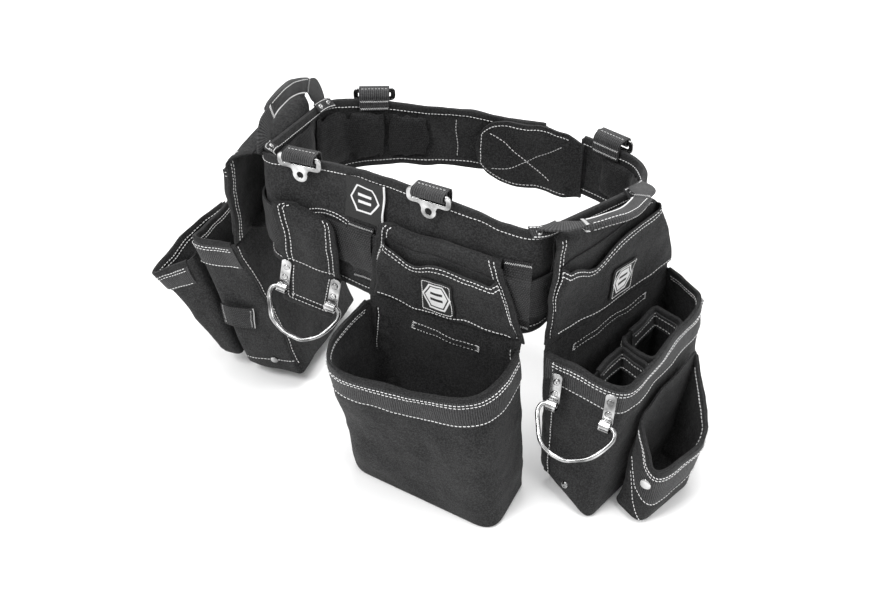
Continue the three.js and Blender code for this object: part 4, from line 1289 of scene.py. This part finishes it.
def build_tunnel(name, m, front, low, bottom, top, core, seam=False):
    """Fabric that folds over the main strap: a front panel, a rounded fold and a narrower back.
    bottom is [left, right] in x, top is [x, z] of the front's upper corners."""
    cols = 44
    f = np.linspace(0, 1, cols)
    left_top, right_top = np.array(top[0], float), np.array(top[1], float)
    radius = min((front - TUNNEL_BACK) / 2, 9)
    high = left_top[1] + (right_top[1] - left_top[1]) * f
    rows = []
    for share in np.linspace(0, 1, FRONT_ROWS):
        z = low + (high - radius - low) * share
        g = (z - low) / (high - low)
        x0 = bottom[0] + (left_top[0] - bottom[0]) * g
        x1 = bottom[1] + (right_top[0] - bottom[1]) * g
        puff = 1.3 * np.sin(math.pi * f) ** 0.6 * math.sin(math.pi * min(share * 1.3, 1)) ** 0.5
        rows.append(np.stack([x0 + (x1 - x0) * f, front + puff - 0.4, z], -1))
    width0, width1 = left_top[0], right_top[0]
    for angle in np.linspace(0, math.pi, 14)[1:]:
        share = angle / math.pi
        bend = ease(np.array(share))
        x0 = width0 + (core[0] - width0) * bend
        x1 = width1 + (core[1] - width1) * bend
        out = (front + TUNNEL_BACK) / 2 + (front - TUNNEL_BACK) / 2 * math.cos(angle)
        z = high - radius + radius * math.sin(angle)
        rows.append(np.stack([x0 + (x1 - x0) * f, out + 0 * f, z], -1))
    x = core[0] + (core[1] - core[0]) * f
    start = rows[-1][:, 2]
    for share in np.linspace(0, 1, 10)[1:]:
        rows.append(np.stack([x, TUNNEL_BACK + 0 * f, start + (low + 16 - start) * share], -1))
    for share in np.linspace(0, 1, 5)[1:]:
        turn = share * math.pi / 2
        rows.append(np.stack([x, TUNNEL_BACK + (front - TUNNEL_BACK - 2) * (1 - math.cos(turn))
                              + 0 * f,
                              low + 16 - 14 * math.sin(turn) + 0 * f], -1))
    cloth = placed(m, np.array(rows) * [1, -1, 1])
    sheet(name + "_cloth", cloth[::-1], 1.5, "canvas", "belt", stands_for=(name,))
    out = outward(m)
    stitching = thread_of("belt")
    for k, sign in ((0, 1), (cols - 1, -1)):
        path = cloth[:EDGE_ROWS, k]
        along = unit(np.gradient(path, axis=0))
        inward = unit(cloth[:EDGE_ROWS, k + 3 * sign] - path)
        across = unit(np.cross(along, inward)) * -sign
        across = np.where((across @ out)[:, None] < -0.2, -across, across)
        swept(f"{name}_tape_{k}", path + inward * 2.6 - across * 0.4, across, inward, (1.5, 5.2),
              "binding", "belt", sides=12, power=0.5)
        for away in (4.9, 10.5):
            stitching.row(path[:-4] + inward[:-4] * away + across[:-4] * (1.0 if away < 6 else 0.5),
                          across[:-4])
            front_run = slice(FRONT_ROWS)
            stitching.row(path[front_run] + inward[front_run] * away
                          - across[front_run] * (2.4 if away < 6 else 1.9), -across[front_run])
    if seam:
        stitching.row(cloth[1, 3:-3] + out * 0.5, out)


def build_hinge(name, m, body, thickness, out, high, low, width):
    """The fabric that bends where a pouch hangs from its tunnel."""
    z = np.linspace(high, low, 9)[:, None]
    y = -(out[0] + (out[1] - out[0]) * ease((high - z) / (high - low)))
    grid = grid_of(np.linspace(*width, 30)[None], y, z)
    ends = [tuple(placed(m, (0, -o, z)) * MM) for o, z in zip(out, (high - 4, low))]
    sheet(name, placed(m, grid), thickness, "canvas", ("belt", body, *ends))


# ---------------------------------------------------------------- the two hammer bows
BOW_HALF = 30
BOW_HANG = math.radians(40)  # how far forward a bow hangs from its plates
CURL = 4.9  # the outer radius of a plate's curled foot


def build_bow(name, m, plate_body, bow_body):
    """A steel wire bow in the curled feet of two riveted plates, at the bow's own line."""
    plate = rounded_outline([(-5.5, 1, 1.5), (5.5, 1, 1.5), (5.5, 37, 4), (-5.5, 37, 4)])
    for side, x in (("left", -BOW_HALF), ("right", BOW_HALF)):
        here = m @ Matrix.Translation((x, 3.85, 0))
        stamped(f"{name}_plate_{side}", [plate], 2.0, 0.55, here, plate_body,
                f"{name}_plate_{side}")
        turn = np.linspace(-0.5 * math.pi, 1.42 * math.pi, 34)
        turn = turn[:, None] + math.pi / 2
        grid = grid_of((x + np.linspace(-5.5, 5.5, 9))[None], -CURL * np.cos(turn),
                       CURL * np.sin(turn))
        sheet(f"{name}_curl_{side}", placed(m, grid), 1.5, "steel", plate_body)
        for z in (13, 28):
            rivets_of(plate_body).rivet(placed(m, (x, 2.6, z)), outward(m), 3.7, 1.5)
    left = [(-BOW_HALF + 6.4, 0), (-BOW_HALF, 0), (-BOW_HALF - 7.5, -0.4), (-BOW_HALF - 12, -5),
            (-BOW_HALF - 11, -15), (-BOW_HALF + 2, -36), (-13, -45)]
    route = left + [(0, -46.6)] + [(-x, z) for x, z in left[::-1]]
    path = smooth_path([(x, 0, z) for x, z in route], 9)
    turning = m @ Matrix.Rotation(-BOW_HANG, 4, "X")
    along = unit(np.gradient(path, axis=0))
    side = unit(np.cross(along, (0, 1, 0)))
    swept(f"{name}_wire", placed(turning, path), turned(turning, (0, 1, 0)), turned(turning, side),
          (2.4, 2.4), "steel", bow_body, sides=18, power=1.0, stands_for=(f"{name}_bow",))


FLAP_LENGTH = 58.5


def build_hammer_holder():
    front, low = 15, -38
    m = belt.station((-140, -96)) @ Matrix.Rotation(math.radians(11), 4, "Y")
    build_tunnel("hammer_sleeve", m, front, low, (-19, 47), ((-42, 31), (33, 29)), (-9, 9),
                 seam=True)
    top = low + 2
    share, f = np.linspace(0, 1, 26)[:, None], np.linspace(0, 1, 26)[None, :]
    x0, x1 = -19 + 7 * share, 47 - 2 * share
    y = -front - 0.9 * np.sin(math.pi * f) ** 0.5 * np.sin(math.pi * share) ** 0.5
    world = placed(m, grid_of(x0 + (x1 - x0) * f, y, top - FLAP_LENGTH * share))
    bends = ("belt", "hammer_flap", tuple(world[0].mean(0) * MM), tuple(world[5].mean(0) * MM))
    flap = sheet("hammer_flap_cloth", world, 2.2, "canvas", bends, stands_for=("hammer_flap",))
    out = outward(m)
    stitching = thread_of("hammer_flap")
    path = np.vstack([world[2:, 0], world[-1, 1:-1], world[2:, -1][::-1]])
    middle = world.reshape(-1, 3).mean(0)
    inward = unit(middle - path)
    swept("hammer_flap_tape", path + inward * 1.4 + out * 0.1, out,
          np.cross(out, unit(np.gradient(path, axis=0))),
          (2.0, 4.2), "binding", "hammer_flap", sides=12, power=0.5)
    for away in (4.6, 10):
        stitching.row(np.vstack([world[3:-2, 0] + turned(m, (away, 0, 0)),
                                 world[-1, 3:-3] + turned(m, (0, 0, away)),
                                 world[3:-2, -1][::-1] + turned(m, (-away, 0, 0))])
                      + out * (1.5 if away < 5 else 0.4), out)
    holder = m @ Matrix.Translation((15, -front - 5.6, low - 0.4 - 38))
    build_bow("hammer_holder", holder, "hammer_flap", "holder_bow")


# ---------------------------------------------------------------- parts of pouches
def build_patch(name, m, centre, node):
    """A woven emblem patch with a stitched border."""
    place = m @ Matrix.Translation(centre) @ Matrix.Rotation(math.radians(4), 4, "X")
    half_x, half_z, border = 19, 20, 2
    x, z = np.linspace(-half_x, half_x, 20)[None], np.linspace(half_z, -half_z, 20)[:, None]
    away = np.minimum(half_x - np.abs(x), half_z - np.abs(z))
    grid = grid_of(x, -0.9 + 0.8 * (1 - ease(away / 3)), z)
    sheet(name, placed(place, grid), 1.2, "badge", "belt", grid[..., [0, 2]], stands_for=(node,))
    a, b = half_x - border, half_z - border
    border_path = straight_loop([(-a, -1.1, -b), (a, -1.1, -b), (a, -1.1, b), (-a, -1.1, b)])
    thread_of("belt").row(placed(place, border_path), outward(place), pitch=2.6, length=2.1,
                          width=0.8)


def straight_loop(corners, steps=16):
    """A closed run of straight sides through its corners."""
    p = np.array(corners, float)
    return np.vstack([p[i] + (p[(i + 1) % len(p)] - p[i])
                      * np.linspace(0, 1, steps, endpoint=False)[:, None]
                      for i in range(len(p))] + [p[:1]])


def build_slit(m, name, body, start, end, out_by):
    """A welt: two lips of tape round a narrow mouth, with a bartack at each end."""
    lip = 1.5
    run = np.linspace(0, 1, 26)
    x = start[0] + (end[0] - start[0]) * run
    z = start[1] + (end[1] - start[1]) * run - 2.0 * np.sin(math.pi * run)
    middle = grid_of(x, -out_by, z)
    along = unit(np.gradient(middle, axis=0))
    up = unit(np.cross(along, (0, 1, 0)))
    up = np.where(up[:, 2:] < 0, -up, up)
    out = outward(m)
    stitching = thread_of(body)
    for side in (1, -1):
        swept(f"{name}_{side + 1}", placed(m, middle + up * side * lip), out, turned(m, up),
              (1.5, lip), "binding", body, sides=12, power=0.8)
        stitching.row(placed(m, middle + up * side * (2.2 * lip + 0.4)) + out * 0.4, out,
                      length=2.6, width=0.8)
    for k in (0, -1):
        a, b = placed(m, middle[k] - up[k] * 4.5), placed(m, middle[k] + up[k] * 4.5)
        stitching.tack(a + out * 0.4, b + out * 0.4, out, 3.8)


def wall_line(m, places, out_by):
    """A stitched line on a tunnel's front through [x, z] places."""
    path = smooth_path([(x, 0, z) for x, z in places], 8)
    path[:, 1] = -out_by - 0.3
    thread_of("belt").row(placed(m, path), outward(m))


def known(node):
    """What a piece replaces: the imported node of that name, if there is one."""
    return (node,) if node in frame["nodes"] else ()


def dressed(pocket, name, body, band, shell_node=None):
    """A pocket with its bound rim, two rows of stitches under it and a ribbed band with one."""
    pocket.shell(name + "_cloth", body, shell_node or name + "_shell")
    if known(name + "_rim"):
        pocket.rim(name + "_rim", body, name + "_rim")
    else:
        bare_rim(pocket, name, body, (3.0, 12.0))
    pocket.strip(name + "_band", body, 1.5, band, "webbing", stands_for=known(name + "_band"))
    for depth, away in ((5.2, 2.9), (9.0, 2.35), (band - 3, 2.35)):
        pocket.stitch(body, depth, (3.1, 11.9), away)
    for depth, away in ((4.6, -3.5), (8.6, -2.4)):
        pocket.stitch(body, depth, (3.1, 11.9), away, inside=True)


def bare_rim(pocket, name, body, u):
    cols = pocket.columns(*u, fine=12)
    path, normal = pocket.on(cols, 0.0)
    up = unit(path - pocket.on(cols, 6.0)[0])
    across = unit(np.cross(np.cross(up, normal), up))
    swept(name + "_rim", path - across * 0.8 - up * 2.4, across, up, (2.5, 4.2), "binding", body,
          sides=14)


def seam_tape(pocket, name, body, u, high, low, row):
    """Tape sewn down a pocket's corner, with a row of stitches."""
    thick, half = 1.3, 4.6
    depth = np.linspace(high, low, 46)
    path, normal = pocket.on(np.full(46, u), depth, 0.5)
    along = unit(np.gradient(path, axis=0))
    side = unit(np.cross(normal, along))
    swept(name, path, normal, side, (thick, half), "binding", body, sides=12, power=0.5)
    thread_of(body).row(path + side * row + normal * thick * 0.8, normal)


def flat_pocket(m, side, loops, wave, dip, rows, ends=()):
    """The low pocket on a tunnel's front, with its rows of stitches."""
    flat = Pocket(m, loops, wave=wave, dip=dip)
    flat.shell(f"{side}_flat_cloth", "belt", f"{side}_flat_pocket", 1.3)
    for depth in rows:
        flat.stitch("belt", depth)
    for u in ends:
        flat.seam("belt", np.full(20, u), np.linspace(2, 52, 20))


def build_left_pouch():
    m = belt.station((-197, -12))
    front, low = 35, -37
    build_tunnel("left_tunnel", m, front, low, (-86, 87), ((-84, 79), (86, 73)), (-54, 56))
    back = front + 0.4
    flat_pocket(m, "left", [
        [[-82, back, -31, 2], [-82, 41, -31, 2], [83, 41, -31, 2], [83, back, -31, 2]],
        [[-81, back, 14, 3], [-81, 45, 14, 4], [82, 45, 14, 4], [82, back, 14, 3]],
        [[-80, back, 58, 3], [-80, 46, 56, 4], [82, 46, 54, 4], [82, back, 56, 3]],
    ], 1.2, 0, (3, 8))
    body = "left_pouch"
    main = Pocket(m, [
        [[-78, -31, -222, 8], [-78, 48, -222, 14], [84, 48, -222, 14], [84, -31, -222, 8]],
        [[-86, 10, -100, 6], [-86, 83, -100, 14], [87, 83, -100, 14], [87, 10, -100, 6]],
        [[-87, 36, -41, 6], [-87, 96, -50, 16], [88, 96, -50, 16], [88, 36, -41, 6]],
    ], wave=1.5)
    dressed(main, "left_pocket", body, 33)
    outer = Pocket(m, [
        [[38, 53, -216, 8], [40, 80, -216, 12], [84, 82, -216, 12], [82, 53, -216, 8]],
        [[10, 74, -150, 8], [26, 110, -150, 18], [92, 124, -150, 20], [86, 74, -150, 8]],
        [[-12, 102, -54, 8], [26, 138, -84, 20], [97, 158, -112, 22], [89, 97, -76, 8]],
    ], sag=3)
    dressed(outer, "left_outer", body, 30, "left_outer_pocket")
    seam_tape(main, "left_back_seam", body, 14.6, 2, 176, -2.4)
    main.seam(body, main.columns(3.1, 13.6), 171)
    main.snap(body, 11.6, 171, 1.2, 4.6)
    build_hinge("left_hinge_cloth", m, body, 1.4, (front + 1.2, 38), -26, -48, (-85, 86))
    build_tab(m, body)


def build_tab(m, body):
    """The webbing tab for a clipped tape, sewn on at its far end."""
    y = np.linspace(-22, -64, 26)
    z = np.linspace(15, -15, 15)
    lift = 90.2 + 2.6 * np.sin(math.pi * np.linspace(0, 1, 26)) ** 0.8
    world = placed(m, grid_of(lift[None], y[::-1][None], z[:, None] - 142))
    sheet("tool_tab_webbing", world[:, ::-1], 1.8, "strap", body, stands_for=("tool_tab",))
    out = turned(m, (1, 0, 0))
    for k in (2, -3):
        thread_of(body).tack(world[1, k] + out * 1.1, world[-2, k] + out * 1.1, out, 2.6)
    edge = world[:, 0] if world[0, 0, 0] > world[0, -1, 0] else world[:, -1]
    thread_of(body).line(edge + out * 0.5, out, 2.2, 0.4, 8)


def build_centre_pouch():
    m = belt.station((31.8, -118))
    front, low = 14, -49
    build_tunnel("centre_tunnel", m, front, low, (-90, 90), ((-74, 48), (58, 44)), (-57, 55))
    back = front + 0.4
    flat_pocket(m, "centre", [
        [[-84, back, -43, 2], [-84, 20, -43, 3], [84, 20, -43, 3], [84, back, -43, 2]],
        [[-76, back, -5, 2], [-76, 23, -6, 3], [71, 23, -12, 3], [72, back, -12, 2]],
        [[-68, back, 35, 3], [-67, 24, 33, 4], [59, 24, 20, 4], [60, back, 22, 3]],
    ], 2.4, 9, (2.6, 7.6), (3.4, 11.6))
    build_patch("centre_emblem", m, (-4, -24.4, -16), "centre_patch")
    body = "centre_pouch"
    main = Pocket(m, [
        [[-70, 17, -240, 12], [-80, 92, -240, 26], [109, 104, -240, 26], [106, 19, -240, 12]],
        [[-82, 16, -150, 10], [-90, 110, -150, 44], [104, 102, -150, 40], [99, 18, -150, 10]],
        [[-92, 15, -53, 8], [-98, 130, -66, 58], [90, 98, -70, 46], [90, 15, -55, 8]],
    ], wave=1.2)
    dressed(main, "centre_pocket", body, 35)
    build_slit(m, "centre_pouch_welt_0", body, (-37, -64), (42, -68), 17.9)
    wall_line(m, [(-79, -38), (-40, -41), (0, -39), (40, -37), (79, -40)], 20.6)
    for x, sign in ((-84, 1), (84, -1)):
        run = np.linspace(-58, -150, 30)
        path = grid_of(x + 0.02 * (run + 58) * sign, -17.8, run)
        swept(f"centre_inner_seam_{sign + 1}", placed(m, path), outward(m), turned(m, (1, 0, 0)),
              (1.6, 3.2), "binding", body, sides=12)
        thread_of(body).row(placed(m, path + [5.2 * sign, -0.2, 0]), outward(m))
    build_hinge("centre_hinge_cloth", m, body, 1.3, (front + 1.0, 16.6), -40, -60, (-90, 89))


def build_right_pouch():
    m = belt.station((166.5, -39.2))
    front, low = 21, -49
    build_tunnel("right_tunnel", m, front, low, (-100, 110), ((-91, 72), (66, 55)), (-78, 44))
    back = front + 0.4
    flat_pocket(m, "right", [
        [[-94, back, -43, 2], [-94, 27, -43, 3], [104, 27, -43, 3], [104, back, -43, 2]],
        [[-90, back, 0, 2], [-90, 30, 0, 3], [84, 30, 4, 3], [84, back, 4, 2]],
        [[-86, back, 42, 3], [-85, 31, 40, 4], [64, 31, 50, 4], [65, back, 52, 3]],
    ], 2.0, 16, (2.6, 7.6), (3.4, 11.6))
    build_patch("right_emblem", m, (6, -31.6, -14), "right_patch")
    body = "right_pouch"
    main = Pocket(m, [
        [[-105, 25, -214, 10], [-114, 106, -240, 16], [84, 92, -238, 16], [104, 26, -216, 10]],
        [[-107, 23, -150, 8], [-98, 112, -150, 16], [84, 94, -150, 16], [107, 25, -150, 8]],
        [[-108, 22, -53, 6], [-86, 112, -68, 18], [80, 93, -54, 22], [108, 22, -53, 6]],
    ], wave=1.2)
    dressed(main, "right_pocket", body, 31)
    build_slit(m, "right_pouch_welt_1", body, (-57, -73), (62, -69.5), 25.4)
    wall_line(m, [(-89, -37), (-40, -41), (10, -41), (60, -38), (98, -35)], 27.8)
    near = Pocket(m, [
        [[-70, 60, -196, 8], [-74, 100, -196, 10], [-14, 92, -196, 10], [-10, 54, -196, 8]],
        [[-71, 58, -140, 8], [-75, 101, -141, 11], [-13, 93.5, -139, 11], [-9, 52, -138, 8]],
        [[-72, 56, -92, 8], [-76, 102, -94, 12], [-12, 95, -90, 12], [-8, 50, -88, 8]],
    ])
    far = Pocket(m, [
        [[-2, 50, -196, 8], [-4, 88, -196, 10], [60, 82, -196, 10], [64, 44, -196, 8]],
        [[-3, 48, -140, 8], [-5, 89, -140, 11], [61, 83, -138, 11], [65, 42, -136, 8]],
        [[-4, 46, -86, 8], [-6, 90, -88, 12], [62, 84, -80, 12], [66, 40, -78, 8]],
    ])
    for pocket, name in ((near, "divider_pocket_near"), (far, "divider_pocket_far")):
        pocket.shell(name + "_cloth", body, name, 1.6, look="inside")
        bare_rim(pocket, name, body, (0.0, 15.8))
        pocket.strip(name + "_band", body, 4, 22, "webbing", (0.0, 15.8), 0.4, 1.2, 5)
        pocket.strip(name + "_lip", body, 4, 24, "webbing", (0.0, 15.8), -3.3, 1.4, 5)
        for depth, away in ((5, -3.6), (9, -3.6), (21, -3.6)):
            pocket.stitch(body, depth, (0.1, 15.7), away, inside=True, width=1.05)
        for depth, away in ((5, 2.6), (9, 2.0), (20, 1.9)):
            pocket.stitch(body, depth, (0.1, 15.7), away)
    side = Pocket(m, [
        [[-74, 110, -234, 8], [-80, 150, -238, 16], [12, 152, -236, 16], [22, 102, -234, 8]],
        [[-66, 113, -196, 8], [-76, 152, -206, 20], [16, 156, -204, 20], [38, 102, -196, 8]],
        [[-56, 114, -112, 8], [-72, 152, -172, 22], [10, 164, -166, 22], [60, 102, -98, 8]],
    ], sag=2)
    dressed(side, "side_pocket", body, 45)
    seam_tape(main, "right_near_seam", body, 3.09, 4, 160, 2.4)
    for u in (4.9, 9.9):
        side.snap(body, u, 22, 2.2)
    main.snap(body, 3.6, 156, 0.8, 4.6)
    curve = side.columns(3.2, 11.8)
    side.seam(body, curve, 58 + 16 * np.sin(math.pi * (curve - 3.2) / 8.6))

    gusset = (m @ Matrix.Translation((-101.5, -76, -103))
              @ Matrix.Rotation(-math.radians(76), 4, "Z")
              @ Matrix.Rotation(-math.radians(6), 4, "X") @ Matrix.Translation((0, -11, 0)))
    build_bow("pouch_hammer", gusset, body, "pouch_bow")

    pens = m @ Matrix.Translation((95, -60, -110)) @ Matrix.Rotation(math.radians(69), 4, "Z")
    build_pen_loops(pens, body)
    build_hinge("right_hinge_cloth", m, body, 1.3, (front + 1.0, 23.6), -40, -60, (-103, 107))


def build_pen_loops(m, body):
    """Two stitched tunnels of webbing for pens."""
    half, depth, height = 17, 12, 74
    u = np.linspace(-1, 1, 61)
    lobes = np.abs(np.sin(math.pi * u))
    out = 4.6 + (depth - 1.0) * lobes ** 0.55
    z = np.linspace(height / 2, -height / 2, 24)[:, None]
    grid = grid_of(u * (half - 0.6), -out - 0.5 * np.cos(z / 9) * (lobes > 0.3), z)
    sheet("pen_webbing", placed(m, grid), 1.6, "webbing", body, stands_for=("pen_loops",))
    back_z = np.linspace(height / 2 + 2, -height / 2 - 2, 8)[:, None]
    back = grid_of(np.linspace(-half, half, 20), -3.4, back_z)
    sheet("pen_backing", placed(m, back), 1.4, "canvas", body)
    normal = outward(m)
    for x in (-half + 1.4, 0, half - 1.4):
        path = grid_of(x, -6.2, np.linspace(height / 2 - 2, -height / 2 + 2, 30))
        thread_of(body).row(placed(m, path), normal, pitch=4.0)
    for edge in (height / 2 - 2.4, -height / 2 + 2.4):
        path = grid_of(grid[0, :, 0], -out, edge)
        thread_of(body).row(placed(m, path)[3:-3] + normal * 0.5, normal, pitch=4.2)


# ---------------------------------------------------------------- the whole belt
build_band()
build_pads()
build_tongue()
build_strap()
build_keepers()
build_label()
build_suspender_points()
build_handles()
build_hammer_holder()
build_left_pouch()
build_centre_pouch()
build_right_pouch()
for made in (*THREADS.values(), *RIVETS.values()):
    made.make()
build_stage()
